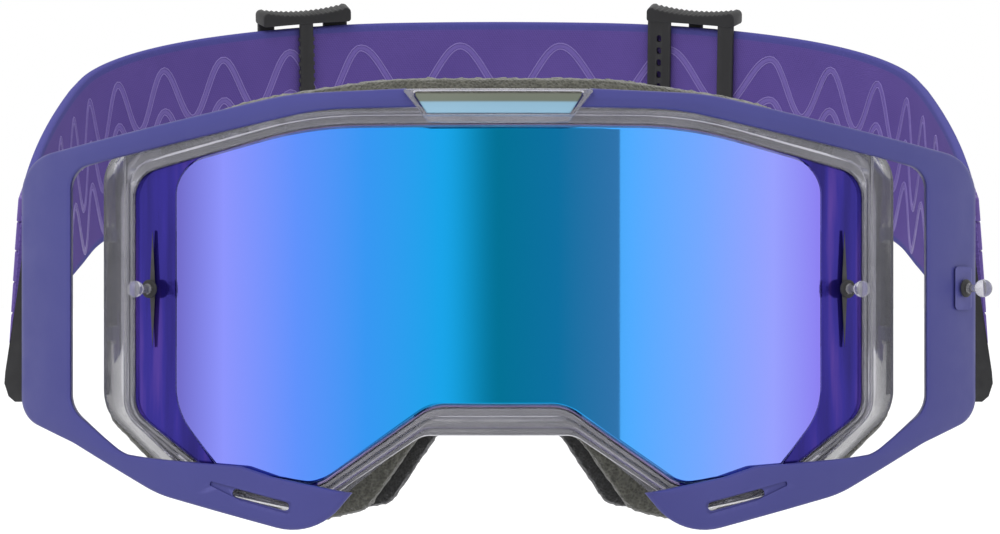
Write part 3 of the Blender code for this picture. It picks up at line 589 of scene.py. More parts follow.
def prism(outline, low, high):
    """A prism whose outline is (x, z) and which runs from y low to y high."""
    mesh = bmesh.new()
    rails = [[mesh.verts.new((a, y, b)) for a, b in outline] for y in (low, high)]
    skin_rails(mesh, rails, closed_section=False, closed_path=True)
    for rail in rails:
        mesh.faces.new(rail)
    return mesh


def soften(mesh, width, angle=35.0, segments=3):
    """Round every edge that is sharper than the angle."""
    limit = math.radians(angle)
    edges = [edge for edge in mesh.edges if edge.is_manifold and edge.calc_face_angle(0.0) > limit]
    bmesh.ops.bevel(mesh, geom=edges, offset=width, segments=segments, affect="EDGES", profile=0.5,
                    clamp_overlap=True)
    return mesh


def merge_into(target, source):
    data = bpy.data.meshes.new("merge")
    source.to_mesh(data)
    source.free()
    target.from_mesh(data)
    bpy.data.meshes.remove(data)
    return target


def cut_with(piece, tool_mesh):
    """Cut a piece with a closed tool mesh, and keep the result in its own mesh."""
    tool = make_piece(tool_mesh, "cutter", [])
    modifier = piece.modifiers.new("cut", "BOOLEAN")
    modifier.object = tool
    modifier.solver = "EXACT"
    depsgraph = bpy.context.evaluated_depsgraph_get()
    data = bpy.data.meshes.new_from_object(piece.evaluated_get(depsgraph))
    piece.modifiers.clear()
    piece.data = data
    bpy.data.objects.remove(tool, do_unlink=True)
    smooth(data, 40.0)


def side_name(side):
    return "right" if side > 0 else "left"


# Materials. Each one is a small node graph in real scale, on object coordinates.

class Graph:
    """A Principled material with helpers for its nodes."""

    def __init__(self, name, colour, roughness, metallic=0.0):
        self.material = bpy.data.materials.new(name)
        self.material.use_nodes = True
        self.nodes = self.material.node_tree.nodes
        self.links = self.material.node_tree.links
        self.shader = self.nodes["Principled BSDF"]
        self.set("Base Color", (*colour, 1.0))
        self.set("Roughness", roughness)
        self.set("Metallic", metallic)
        self.material.diffuse_color = (*colour, 1.0)
        self.place = self.nodes.new("ShaderNodeTexCoord").outputs["Object"]

    def link(self, source, target):
        self.links.new(source, target)

    def set(self, name, value):
        self.shader.inputs[name].default_value = value

    def noise(self, size, detail=4.0, squeeze=None):
        """Noise whose features are about size metres wide."""
        node = self.nodes.new("ShaderNodeTexNoise")
        node.inputs["Scale"].default_value = 1.0 / size
        node.inputs["Detail"].default_value = detail
        source = self.place
        if squeeze:
            mapping = self.nodes.new("ShaderNodeMapping")
            mapping.inputs["Scale"].default_value = squeeze
            self.link(source, mapping.inputs["Vector"])
            source = mapping.outputs["Vector"]
        self.link(source, node.inputs["Vector"])
        return node.outputs["Fac"]

    def math(self, operation, first, second=0.0):
        node = self.nodes.new("ShaderNodeMath")
        node.operation = operation
        for socket, value in zip(node.inputs, (first, second)):
            if isinstance(value, (int, float)):
                socket.default_value = value
            else:
                self.link(value, socket)
        return node.outputs["Value"]

    def spread(self, value, from_low, from_high, to_low=0.0, to_high=1.0):
        node = self.nodes.new("ShaderNodeMapRange")
        self.link(value, node.inputs["Value"])
        for name, number in (("From Min", from_low), ("From Max", from_high),
                             ("To Min", to_low), ("To Max", to_high)):
            node.inputs[name].default_value = number
        return node.outputs["Result"]

    def mix(self, share, low, high):
        """Blend of two colours, each a tuple or a socket."""
        node = self.nodes.new("ShaderNodeMix")
        node.data_type = "RGBA"
        self.link(share, node.inputs["Factor"])
        for socket, value in ((node.inputs[6], low), (node.inputs[7], high)):
            if isinstance(value, tuple):
                socket.default_value = (*value, 1.0)
            else:
                self.link(value, socket)
        return node.outputs[2]

    def ramp(self, value, stops):
        node = self.nodes.new("ShaderNodeValToRGB")
        elements = node.color_ramp.elements
        while len(elements) < len(stops):
            elements.new(1.0)
        for element, (position, colour) in zip(elements, stops):
            element.position = position
            element.color = (*colour, 1.0)
        self.link(value, node.inputs["Fac"])
        return node.outputs["Color"]

    def split(self, place=None):
        node = self.nodes.new("ShaderNodeSeparateXYZ")
        self.link(place or self.place, node.inputs["Vector"])
        return node.outputs

    def colour(self, source):
        self.link(source, self.shader.inputs["Base Color"])

    def patchy_roughness(self, pattern, low, high, top=0.8):
        """Roughness from low to high, where the pattern goes from 0.3 to top."""
        self.link(self.spread(pattern, 0.3, top, low, high), self.shader.inputs["Roughness"])

    def bump(self, height, depth, strength=1.0):
        node = self.nodes.new("ShaderNodeBump")
        node.inputs["Distance"].default_value = depth
        node.inputs["Strength"].default_value = strength
        self.link(height, node.inputs["Height"])
        if self.shader.inputs["Normal"].links:
            self.link(self.shader.inputs["Normal"].links[0].from_socket, node.inputs["Normal"])
        self.link(node.outputs["Normal"], self.shader.inputs["Normal"])

    def edge_wear(self):
        """0 on flats, 1 on the outermost edges."""
        point = self.nodes.new("ShaderNodeNewGeometry").outputs["Pointiness"]
        return self.spread(point, 0.52, 0.60)


def satin_plastic(name, dark, light, worn, roughness):
    """Moulded plastic: fine grain, slow colour variation, polished outer edges."""
    graph = Graph(name, light, roughness)
    tone = graph.mix(graph.noise(0.030, 3.0), dark, light)
    wear = graph.math("MULTIPLY", graph.edge_wear(), graph.noise(0.0025, 3.0))
    graph.colour(graph.mix(wear, tone, worn))
    graph.patchy_roughness(graph.noise(0.0060), roughness - 0.05, roughness + 0.07, top=0.7)
    graph.set("Specular IOR Level", 0.32)
    graph.bump(graph.noise(0.00030, 2.0), 0.00003, 0.6)
    return graph.material


def clear_plastic():
    """Smoke clear plastic with faint flow lines and handling haze."""
    graph = Graph("smoke_clear", (0.62, 0.62, 0.66), 0.10)
    graph.set("Transmission Weight", 0.82)
    graph.set("IOR", 1.45)
    flow = graph.noise(0.010, 3.0, squeeze=(1.0, 0.25, 1.0))
    graph.colour(graph.mix(flow, (0.50, 0.50, 0.55), (0.72, 0.71, 0.76)))
    haze = graph.spread(graph.noise(0.0030, 5.0), 0.35, 0.75, 0.05, 0.20)
    graph.link(haze, graph.shader.inputs["Roughness"])
    graph.bump(graph.noise(0.004, 2.0), 0.00005, 0.35)
    return graph.material


def mirror_coating():
    """Cyan in the middle, blue further out and violet at the sides. The left half holds a painted shade: less
    red and green than the right, so it reads darker.
    """
    graph = Graph("mirror_coating", (0.1, 0.4, 0.9), 0.06, metallic=1.0)
    x = graph.split()[0]
    share = graph.math("DIVIDE", graph.math("ABSOLUTE", x), 0.0700)
    right = graph.ramp(share, (
        (0.00, (0.003, 0.395, 0.72)),
        (0.17, (0.010, 0.385, 0.85)),
        (0.38, (0.083, 0.410, 1.00)),
        (0.58, (0.174, 0.392, 1.00)),
        (0.80, (0.315, 0.355, 1.00)),
        (0.95, (0.260, 0.210, 0.88)),
    ))
    # Painted shade: this left-half ramp has lower red and green than the right one, most towards the outer
    # side.
    left = graph.ramp(share, (
        (0.00, (0.003, 0.395, 0.72)),
        (0.17, (0.011, 0.370, 0.82)),
        (0.38, (0.040, 0.312, 0.90)),
        (0.58, (0.118, 0.288, 0.98)),
        (0.80, (0.270, 0.300, 0.99)),
        (0.95, (0.160, 0.140, 0.56)),
    ))
    # Left of the middle, the darker painted-shade ramp is used.
    graph.colour(graph.mix(graph.math("GREATER_THAN", x, 0.0), left, right))
    graph.patchy_roughness(graph.noise(0.012, 3.0), 0.030, 0.050)
    return graph.material


def lens_back():
    """The lens as the wearer sees it: smoked, with faint wiping haze."""
    graph = Graph("lens_back", (0.075, 0.070, 0.115), 0.14)
    graph.colour(graph.mix(graph.noise(0.020, 3.0), (0.060, 0.056, 0.095), (0.090, 0.084, 0.135)))
    graph.patchy_roughness(graph.noise(0.006, squeeze=(1.0, 1.0, 2.5)), 0.10, 0.22)
    return graph.material


def lens_border():
    """The lens outside its main face: deep indigo with a faint sheen."""
    graph = Graph("lens_border", (0.05, 0.03, 0.35), 0.12, metallic=0.7)
    tone = graph.noise(0.014, 3.0, squeeze=(4.0, 1.0, 0.3))
    indigo = graph.ramp(tone, ((0.30, (0.018, 0.012, 0.16)), (0.55, (0.030, 0.020, 0.26)),
                               (0.80, (0.11, 0.050, 0.32))))
    x, _, z = graph.split()
    across = graph.math("ABSOLUTE", x)
    nose = graph.math("LESS_THAN", across, 0.0365)
    top = graph.math("MULTIPLY", graph.spread(across, 0.060, 0.050), graph.math("GREATER_THAN", z, 0.0))
    graph.colour(graph.mix(graph.math("MAXIMUM", nose, top), indigo, (0.36, 0.30, 0.52)))
    graph.patchy_roughness(graph.noise(0.004, 3.0), 0.10, 0.18)
    return graph.material


def foam_material(name, dark, light):
    """Open cell foam: pores, lighter cell walls and a soft fuzz."""
    graph = Graph(name, light, 0.95)
    cells = graph.nodes.new("ShaderNodeTexVoronoi")
    cells.inputs["Scale"].default_value = 1.0 / 0.0006
    graph.link(graph.place, cells.inputs["Vector"])
    pore = graph.spread(cells.outputs["Distance"], 0.1, 0.8)
    fleck = graph.mix(graph.noise(0.0012, 5.0), dark, light)
    graph.colour(graph.mix(pore, dark, fleck))
    graph.set("Sheen Weight", 0.35)
    graph.set("Sheen Roughness", 0.6)
    graph.bump(pore, 0.0002, 0.8)
    graph.bump(graph.noise(0.0004), 0.0002, 0.7)
    return graph.material


def webbing_material():
    """Ribbed elastic webbing. Its UV map is in metres: along the strap and across it."""
    base = (0.110, 0.072, 0.286)
    deep = (0.082, 0.053, 0.228)
    rib_pitch = 0.00050
    weft_pitch = 0.00062
    graph = Graph("webbing_weave", base, 0.85)
    uv = graph.nodes.new("ShaderNodeUVMap")
    uv.uv_map = "strap"
    along, across, _ = graph.split(uv.outputs["UV"])
    rib = graph.math("SINE", graph.math("MULTIPLY", across, 2 * math.pi / rib_pitch))
    stagger = graph.math("MULTIPLY", across, math.pi / rib_pitch)
    run = graph.math("MULTIPLY", along, 2 * math.pi / weft_pitch)
    weft = graph.math("SINE", graph.math("ADD", run, stagger))
    weave = graph.math("ADD", graph.math("MULTIPLY", rib, 0.35), graph.math("MULTIPLY", weft, 0.50))
    thread = graph.mix(graph.spread(weave, -0.85, 0.85), deep, base)
    cloud = graph.noise(0.018)
    tinted = graph.mix(graph.spread(cloud, 0.3, 0.7, 0.0, 0.22), thread, (0.150, 0.100, 0.360))
    edge = graph.spread(graph.math("ABSOLUTE", across), 0.0196, 0.0200)
    graph.colour(graph.mix(edge, tinted, (0.070, 0.067, 0.258)))
    graph.set("Specular IOR Level", 0.12)
    graph.bump(weave, 0.00006, 0.6)
    graph.bump(graph.noise(0.0002, 3.0), 0.00008, 0.5)
    return graph.material


def rubber_print(name, base, light):
    """Silicone print on the webbing."""
    graph = Graph(name, base, 0.45)
    graph.colour(graph.mix(graph.noise(0.004), base, light))
    graph.patchy_roughness(graph.noise(0.0015, 3.0), 0.36, 0.55, top=0.7)
    graph.bump(graph.noise(0.0005, 3.0), 0.00003, 0.5)
    return graph.material


def badge_panel():
    """Plain panel: grey-green above, pale blue below."""
    graph = Graph("badge_panel", (0.45, 0.60, 0.70), 0.16)
    low = BADGE_WINDOW_OUTLINE[-1][1]
    high = BADGE_WINDOW_OUTLINE[0][1]
    height = graph.spread(graph.split()[2], low, high)
    graph.colour(graph.ramp(height, ((0.0, (0.22, 0.38, 0.50)), (0.52, (0.20, 0.35, 0.46)),
                                     (0.62, (0.12, 0.14, 0.11)), (1.0, (0.13, 0.14, 0.11)))))
    graph.patchy_roughness(graph.noise(0.003), 0.12, 0.24, top=0.7)
    graph.bump(graph.noise(0.0008, 2.0), 0.00002, 0.4)
    return graph.material


def steel_material():
    graph = Graph("pin_steel", (0.55, 0.55, 0.57), 0.3, metallic=1.0)
    drawn = graph.noise(0.0010, squeeze=(1.0, 1.0, 0.05))
    graph.patchy_roughness(drawn, 0.22, 0.42, top=0.7)
    graph.bump(drawn, 0.00002, 0.5)
    return graph.material


SMOKE = clear_plastic()
PURPLE = satin_plastic("satin_purple", (0.037, 0.038, 0.180), (0.052, 0.053, 0.216), (0.09, 0.09, 0.29), 0.46)
BLACK = satin_plastic("black_grain", (0.015, 0.015, 0.016), (0.026, 0.026, 0.027), (0.06, 0.06, 0.06), 0.52)
MIRROR = mirror_coating()
BORDER = lens_border()
BACK = lens_back()
SEAL = rubber_print("seal_rubber", (0.030, 0.030, 0.034), (0.050, 0.050, 0.055))
FOAM_GREY = foam_material("foam_grey", (0.045, 0.045, 0.035), (0.150, 0.148, 0.120))
FOAM_DARK = foam_material("foam_dark", (0.010, 0.010, 0.010), (0.040, 0.040, 0.040))
FLEECE = foam_material("fleece", (0.006, 0.006, 0.007), (0.028, 0.028, 0.030))
WEBBING = webbing_material()
PRINT = rubber_print("wave_print", (0.180, 0.130, 0.395), (0.220, 0.165, 0.445))
WAVE_FILL = rubber_print("wave_fill", (0.128, 0.084, 0.330), (0.142, 0.095, 0.355))
BLOCKS = rubber_print("block_print", (0.115, 0.065, 0.300), (0.150, 0.090, 0.360))
THREAD = rubber_print("thread", (0.150, 0.100, 0.400), (0.190, 0.130, 0.450))
PANEL = badge_panel()
STEEL = steel_material()


# Frame and lens.

def add_inner_frame():
    """Thin clear wall with a rounded lip, a lens shelf and a rear flange."""
    groove = grow(LENS_OUTLINE, GAP)
    shelf = grow(LENS_OUTLINE, -SEAL_WIDTH)
    shelf_depth = LENS_BACK_DEPTH + 2 * GAP + SEAL_THICKNESS
    flange_front = REAR_DEPTH - FLANGE_THICKNESS
    sections = [
        (groove, LIP_FRONT_DEPTH + LIP_INNER_ROUND),
        (grow(groove, LIP_INNER_ROUND), LIP_FRONT_DEPTH),
    ]
    for share, depth in LIP_GROOVES:
        sections.append((blend_outlines(groove, LIP_OUTLINE, share), LIP_FRONT_DEPTH + depth))
    sections += [
        (grow(LIP_OUTLINE, -LIP_ROUND), LIP_FRONT_DEPTH),
        (grow(LIP_OUTLINE, -LIP_ROUND * 0.3), LIP_FRONT_DEPTH + LIP_ROUND * 0.3),
        (LIP_OUTLINE, LIP_FRONT_DEPTH + LIP_ROUND),
        (grow(FLANGE_OUTLINE, -0.0012), flange_front - 0.0040),
        (grow(FLANGE_OUTLINE, -0.0004), flange_front - 0.0004),
        (FLANGE_OUTLINE, flange_front + 0.0002),
        (FLANGE_OUTLINE, REAR_DEPTH),
        (grow(FLANGE_OUTLINE, -FLANGE_WIDTH), REAR_DEPTH),
        (grow(FLANGE_OUTLINE, -FLANGE_WIDTH), flange_front),
        (grow(FLANGE_OUTLINE, -FRAME_WALL - 0.0012), flange_front),
        (grow(LIP_OUTLINE, -FRAME_WALL), shelf_depth + SHELF_THICKNESS),
        (shelf, shelf_depth + SHELF_THICKNESS),
        (shelf, shelf_depth),
        (groove, shelf_depth),
    ]
    mesh = ring_mesh(sections)
    bend(mesh)
    piece = make_piece(mesh, "inner_frame_clear", [SMOKE], 30.0)
    for side in (-1, 1):
        for z in VENT_ZS:
            for x in VENT_XS:
                y = sum(depth_to_y(x, depth) for depth in VENT_DEPTHS) / 2
                window = rounded_rectangle(x, y, VENT_HALF_WIDTH, VENT_HALF_LENGTH, VENT_ROUND)
                tool = stand_up(prism(window, z - VENT_REACH, z + VENT_REACH))
                cut_with(piece, mirror_x(tool, side))
    attach(piece, "goggles", "inner_frame")


def add_lens():
    """Mirrored main face, bevel and recessed border, as one shell with exact wrap normals."""
    main = grow(MAIN_FACE_OUTLINE, -LENS_BEVEL)
    sections = (
        (LENS_OUTLINE, LENS_BACK_DEPTH),
        (LENS_OUTLINE, LENS_BORDER_DEPTH + LENS_EDGE_ROUND),
        (grow(LENS_OUTLINE, -LENS_EDGE_ROUND), LENS_BORDER_DEPTH),
        (grow(MAIN_FACE_OUTLINE, 0.00005), LENS_BORDER_DEPTH),
        (grow(main, LENS_EDGE_ROUND), LENS_FACE_DEPTH + LENS_EDGE_ROUND / 2),
        (main, LENS_FACE_DEPTH),
    )
    mesh = bmesh.new()
    rails = loop_rails(mesh, sections)
    skin_rails(mesh, rails[:4], closed_section=False, closed_path=True, slot=1)
    skin_rails(mesh, rails[3:], closed_section=False, closed_path=True, slot=0)
    mesh.faces.new(rails[0]).material_index = 2
    mesh.faces.new(rails[-1]).material_index = 0
    bend(mesh, LENS_SLICE)
    piece = make_piece(mesh, "lens_mirrored", [MIRROR, BORDER, BACK], 30.0)
    set_wrap_normals(piece.data)
    attach(piece, "goggles", "lens")


def set_wrap_normals(data):
    """Faces that lie on the wrap get the cylinder's own normals."""
    on_wrap = 0.995
    normals = []
    data.update()
    split = [tuple(corner.vector) for corner in data.corner_normals]
    for face in data.polygons:
        for corner in face.loop_indices:
            place = data.vertices[data.loops[corner].vertex_index].co
            lean = place.x / WRAP_RADIUS
            exact = Vector((lean, -math.sqrt(1.0 - lean ** 2), 0.0))
            if face.normal.dot(exact) > on_wrap:
                normals.append(exact)
            elif face.normal.dot(exact) < -on_wrap:
                normals.append(-exact)
            else:
                normals.append(Vector(split[corner]))
    data.normals_split_custom_set(normals)


def add_lens_seal():
    front = LENS_BACK_DEPTH + GAP
    outer = grow(LENS_OUTLINE, -GAP)
    inner = grow(LENS_OUTLINE, -SEAL_WIDTH)
    mesh = ring_mesh(((outer, front), (outer, front + SEAL_THICKNESS),
                      (inner, front + SEAL_THICKNESS), (inner, front)))
    bend(mesh)
    piece = make_piece(mesh, "lens_seal_strip", [SEAL])
    attach(piece, "goggles", "lens_seal")


# Face foam.

def roughen(mesh, size, depth):
    """Push every corner in or out a little, by smooth noise at two scales."""
    mesh.normal_update()
    moves = []
    for vert in mesh.verts:
        coarse = noise.noise(vert.co / size)
        fine = noise.noise(vert.co / (size * 0.3))
        moves.append(vert.normal * (depth * (coarse * 0.5 + fine * 0.5)))
    for vert, move in zip(mesh.verts, moves):
        vert.co += move


def foam_ring(outer, inner, front, rear):
    """A ring with swollen sides and a rough skin."""
    layers = 9
    across = 5
    swells = []
    for index in range(layers + 1):
        share = index / layers
        swell = FOAM_BULGE * (1.0 - math.sin(math.pi * share) ** 0.6)
        swells.append((swell, front + (rear - front) * share))
    sections = [(grow(outer, -swell), depth) for swell, depth in swells]
    rear_outer = grow(outer, -FOAM_BULGE)
    rear_inner = grow(inner, FOAM_BULGE)
    for index in range(1, across):
        sections.append((blend_outlines(rear_outer, rear_inner, index / across), rear))
    sections += [(grow(inner, swell), depth) for swell, depth in reversed(swells)]
    mesh = ring_mesh(sections, edge_steps=10, arc_steps=8)
    bend(mesh, FOAM_SLICE)
    roughen(mesh, 0.0011, 0.00060)
    return mesh


def add_face_foam():
    base_start = REAR_DEPTH + GAP
    middle_start = base_start + FOAM_BASE_THICKNESS + GAP
    fleece_start = middle_start + FOAM_MIDDLE_THICKNESS + GAP
    layers = (
        ("foam_base", "foam_grey", FOAM_BASE_OUTLINE, 0, base_start, FOAM_BASE_THICKNESS, FOAM_GREY),
        ("foam_middle", "foam_dark", FOAM_OUTLINE, 1, middle_start, FOAM_MIDDLE_THICKNESS, FOAM_DARK),
        ("foam_fleece", "fleece", FOAM_OUTLINE, 2, fleece_start, FACE_DEPTH - fleece_start, FLEECE),
    )
    for node, slot_name, outline, steps, front, thickness, material in layers:
        outer = grow(outline, -steps * FOAM_SIDE_STEP)
        inner = grow(FOAM_INNER_OUTLINE, steps * FOAM_SIDE_STEP)
        mesh = foam_ring(outer, inner, front, front + thickness)
        piece = make_piece(mesh, node + "_ring", [material], 80.0)
        attach(piece, "goggles", node)


def add_vent_foams():
    """The vent foams keep their solids' shape, made finer and rougher."""
    for place in ("top", "bottom"):
        for side in ("left", "right"):
            node = "vent_foam_%s_%s" % (place, side)
            mesh = bmesh.new()
            mesh.from_mesh(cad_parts[node].data)
            bmesh.ops.remove_doubles(mesh, verts=mesh.verts[:], dist=0.00001)
            bmesh.ops.subdivide_edges(mesh, edges=mesh.edges[:], cuts=5, use_grid_fill=True)
            roughen(mesh, 0.0012, 0.00025)
            piece = make_piece(mesh, node + "_strip", [FOAM_DARK], 80.0)
            attach(piece, "goggles", node)


# Outrigger halves.

def bar_back_depth(x):
    share = (x - OUTRIGGER_BAR_START_X) / (OUTRIGGER_BAR_FULL_X - OUTRIGGER_BAR_START_X)
    share = min(max(share, 0.0), 1.0)
    return OUTRIGGER_BACK_DEPTH + share * (OUTRIGGER_BAR_BACK_DEPTH - OUTRIGGER_BACK_DEPTH)


def outrigger_section(width, back):
    """Profile from the outer back corner to the inner back corner: (way across, depth)."""
    steps = 5
    rounding = min(OUTRIGGER_ROUNDING, width * 0.3)
    front = OUTRIGGER_FRONT_DEPTH
    edge = [(0.0003, back), (0.0, back - 0.0004)]
    for index in range(steps + 1):
        angle = math.pi / 2 * index / steps
        edge.append((rounding * (1 - math.cos(angle)), front + rounding * (1 - math.sin(angle))))
    crown = []
    for index in range(1, steps + 1):
        share = index / (steps + 1)
        way = rounding + (width - 2 * rounding) * share
        crown.append((way, front - OUTRIGGER_CROWN * math.sin(math.pi * share)))
    return edge + crown + [(width - way, depth) for way, depth in reversed(edge)]


def outrigger_mesh():
    outer_edge = open_curve(OUTRIGGER_OUTER_EDGE, OUTRIGGER_EDGE_STEPS)
    inner_edge = open_curve(OUTRIGGER_INNER_EDGE, OUTRIGGER_EDGE_STEPS)
    mesh = bmesh.new()
    rails = None
    for outer, inner in zip(outer_edge, inner_edge):
        across = inner - outer
        profile = outrigger_section(across.length, bar_back_depth(inner.x))
        rails = rails or [[] for _ in profile]
        for rail, (way, depth) in zip(rails, profile):
            point = outer + across.normalized() * way
            rail.append(mesh.verts.new((point.x, depth, point.y)))
    skin_rails(mesh, rails, closed_section=True, closed_path=False)
    mesh.faces.new([rail[0] for rail in rails])
    mesh.faces.new([rail[-1] for rail in rails])
    warp(mesh, bent)
    return mesh


def slot_tool():
    """The wing's slot: a long hole with round ends, tilted along the wing."""
    outline = rounded_rectangle(0.0, 0.0, SLOT_HALF_LENGTH, SLOT_HALF_HEIGHT, SLOT_ROUND)
    mesh = prism(outline, -0.010, 0.010)
    turn = Matrix.Rotation(-SLOT_TILT, 4, "Y")
    place = Matrix.Translation((SLOT_X, wrap_y(SLOT_X), SLOT_Z))
    bmesh.ops.transform(mesh, matrix=place @ turn, verts=mesh.verts[:])
    return mesh


def recess_tool():
    """A shallow tapered recess that runs outwards from the slot."""
    outline = [(-a, b) for a, b in rounded_polygon(RECESS_OUTLINE)]
    mesh = prism(outline, OUTRIGGER_FRONT_DEPTH - 0.0010, RECESS_FLOOR_DEPTH)
    slice_along_x(mesh, 0.002)
    turn = Matrix.Rotation(-SLOT_TILT, 4, "Y")
    bmesh.ops.transform(mesh, matrix=turn, verts=mesh.verts[:])
    move = Vector((SLOT_X, 0.0, SLOT_Z))
    warp(mesh, lambda point: point + move + Vector((0.0, wrap_y(point.x + SLOT_X), 0.0)))
    return mesh


def lug_mesh(low):
    """A lug with a round end about the clip's hinge."""
    steps = 16
    points = [(HINGE_X - LUG_RADIUS, LUG_FOOT_Y)]
    for index in range(steps + 1):
        angle = math.pi - math.pi * index / steps
        points.append((HINGE_X + LUG_RADIUS * math.cos(angle), HINGE_Y + LUG_RADIUS * math.sin(angle)))
    points.append(LUG_SHOULDER)
    mesh = stand_up(prism(points, low, low + LUG_HEIGHT))
    outward_faces(mesh)
    return soften(mesh, 0.0003, 50.0, 2)


def add_outriggers():
    for side in (-1, 1):
        piece = make_piece(mirror_x(outrigger_mesh(), side), "outrigger_" + side_name(side), [PURPLE], 40.0)
        cut_with(piece, mirror_x(recess_tool(), side))
        cut_with(piece, mirror_x(slot_tool(), side))
        lugs = bmesh.new()
        lugs.from_mesh(piece.data)
        for low in LUG_LOWS:
            merge_into(lugs, mirror_x(lug_mesh(low), side))
        lugs.to_mesh(piece.data)
        lugs.free()
        attach(piece, "goggles", "outer_frame_" + side_name(side))


# Badge and posts.

def add_badge():
    back = BADGE_FRONT_DEPTH + BADGE_THICKNESS
    opening = grow(BADGE_WINDOW_OUTLINE, GAP)
    edge = BADGE_EDGE_ROUND
    sections = (
        (BADGE_OUTLINE, back),
        (BADGE_OUTLINE, BADGE_FRONT_DEPTH + edge),
        (grow(BADGE_OUTLINE, -edge * 0.3), BADGE_FRONT_DEPTH + edge * 0.3),
        (grow(BADGE_OUTLINE, -edge), BADGE_FRONT_DEPTH),
        (grow(opening, edge), BADGE_FRONT_DEPTH),
        (opening, BADGE_FRONT_DEPTH + edge),
        (opening, back),
    )
    mesh = ring_mesh(sections)
    bend(mesh)
    piece = make_piece(mesh, "badge_rim", [SMOKE], 25.0)
    attach(piece, "goggles", "badge_surround")
    front = BADGE_FRONT_DEPTH + BADGE_WINDOW_RECESS
    mesh = bmesh.new()
    rails = loop_rails(mesh, ((BADGE_WINDOW_OUTLINE, back), (BADGE_WINDOW_OUTLINE, front + 0.0002),
                              (grow(BADGE_WINDOW_OUTLINE, -0.0002), front)))
    skin_rails(mesh, rails, closed_section=False, closed_path=True)
    mesh.faces.new(rails[0])
    mesh.faces.new(rails[-1])
    bend(mesh)
    panel = make_piece(mesh, "badge_plain_panel", [PANEL], 25.0)
    attach(panel, "goggles", "badge_window")


def lathe(profile, steps=32):
    mesh = bmesh.new()
    rails = []
    for radius, height in profile:
        rail = []
        for index in range(steps):
            angle = 2 * math.pi * index / steps
            rail.append(mesh.verts.new((radius * math.cos(angle), radius * math.sin(angle), height)))
        rails.append(rail)
    skin_rails(mesh, rails, closed_section=False, closed_path=True)
    mesh.faces.new(rails[0])
    mesh.faces.new(rails[-1])
    return mesh


def post_mesh(head, stem_height):
    """Dark flange, then a clear waisted stem and ball head, about +Z."""
    steps = 12
    flange = POST_FLANGE
    flange_top = 0.0009
    profile = [(flange * 0.9, 0.0), (flange, 0.0001), (flange, 0.0005), (flange * 0.92, 0.0007),
               (0.0011, flange_top), (0.00085, 0.0012), (POST_WAIST, stem_height * 0.6)]
    middle = stem_height + head
    start = math.asin(POST_WAIST / head)
    for index in range(steps + 1):
        angle = math.pi - start - (math.pi - start - 0.08) * index / steps
        profile.append((head * math.sin(angle), middle + head * math.cos(angle)))
    mesh = lathe(profile)
    for face in mesh.faces:
        face.material_index = 1 if face.calc_center_median().z < flange_top else 0
    return mesh


def stand_on_wrap(mesh, side, x, z, depth):
    lean = math.asin(x / WRAP_RADIUS)
    outward = Vector((side * math.sin(lean), -math.cos(lean), 0.0))
    turn = Vector((0.0, 0.0, 1.0)).rotation_difference(outward).to_matrix().to_4x4()
    base = Vector((side * x, wrap_y(x), z)) - outward * depth
    bmesh.ops.transform(mesh, matrix=Matrix.Translation(base) @ turn, verts=mesh.verts[:])
    return mesh


def add_post(mesh, name, node):
    piece = make_piece(mesh, name, [SMOKE, BLACK])
    attach(piece, "goggles", node)


def add_posts():
    for side in (-1, 1):
        post = post_mesh(POST_HEAD, POST_STEM)
        stand_on_wrap(post, side, POST_X, POST_Z, POST_FOOT_DEPTH)
        add_post(post, "post_" + side_name(side), "lens_post_" + side_name(side))
        outline = ((POST_X, POST_Z - RIB_HALF_LENGTH), (POST_X + RIB_HALF_WIDTH, POST_Z),
                   (POST_X, POST_Z + RIB_HALF_LENGTH), (POST_X - RIB_HALF_WIDTH, POST_Z))
        mesh = prism(outline, RIB_FRONT_DEPTH, RIB_BACK_DEPTH)
        soften(mesh, 0.00012, 30.0, 2)
        warp(mesh, bent)
        rib = make_piece(mirror_x(mesh, side), "rib_" + side_name(side), [BLACK])
        attach(rib, "goggles", "post_rib_" + side_name(side))


def add_outrigger_post():
    """The third post, on a raised pad on the right outrigger."""
    post = post_mesh(OUTRIGGER_POST_HEAD, OUTRIGGER_POST_STEM)
    stand_on_wrap(post, 1, OUTRIGGER_POST_X, POST_Z, -GAP)
    bmesh.ops.translate(post, vec=Vector((0.0, PAD_FRONT_DEPTH, 0.0)), verts=post.verts[:])
    add_post(post, "post_outrigger", "outrigger_post")
    outline = rounded_rectangle(OUTRIGGER_POST_X, POST_Z, PAD_HALF_WIDTH, PAD_HALF_HEIGHT, PAD_ROUND)
    mesh = prism(outline, PAD_FRONT_DEPTH, OUTRIGGER_FRONT_DEPTH - GAP)
    soften(mesh, 0.00025, 60.0, 3)
    warp(mesh, bent)
    pad = make_piece(mesh, "post_pad", [PURPLE])
    attach(pad, "goggles", "outrigger_pad")


# Strap with its print.

def strap_profile():
    """Cross-section of the webbing with rounded selvedges: (out, up)."""
    steps = 24
    corners = rounded_rectangle(0.0, 0.0, STRAP_HALF_THICKNESS, STRAP_HALF_WIDTH, STRAP_ROUND, 3)
    filled = []
    for index, point in enumerate(corners):
        filled.append(point)
        after = corners[(index + 1) % len(corners)]
        if (after - point).length > STRAP_HALF_WIDTH:
            filled += [point.lerp(after, step / steps) for step in range(1, steps)]
    return filled


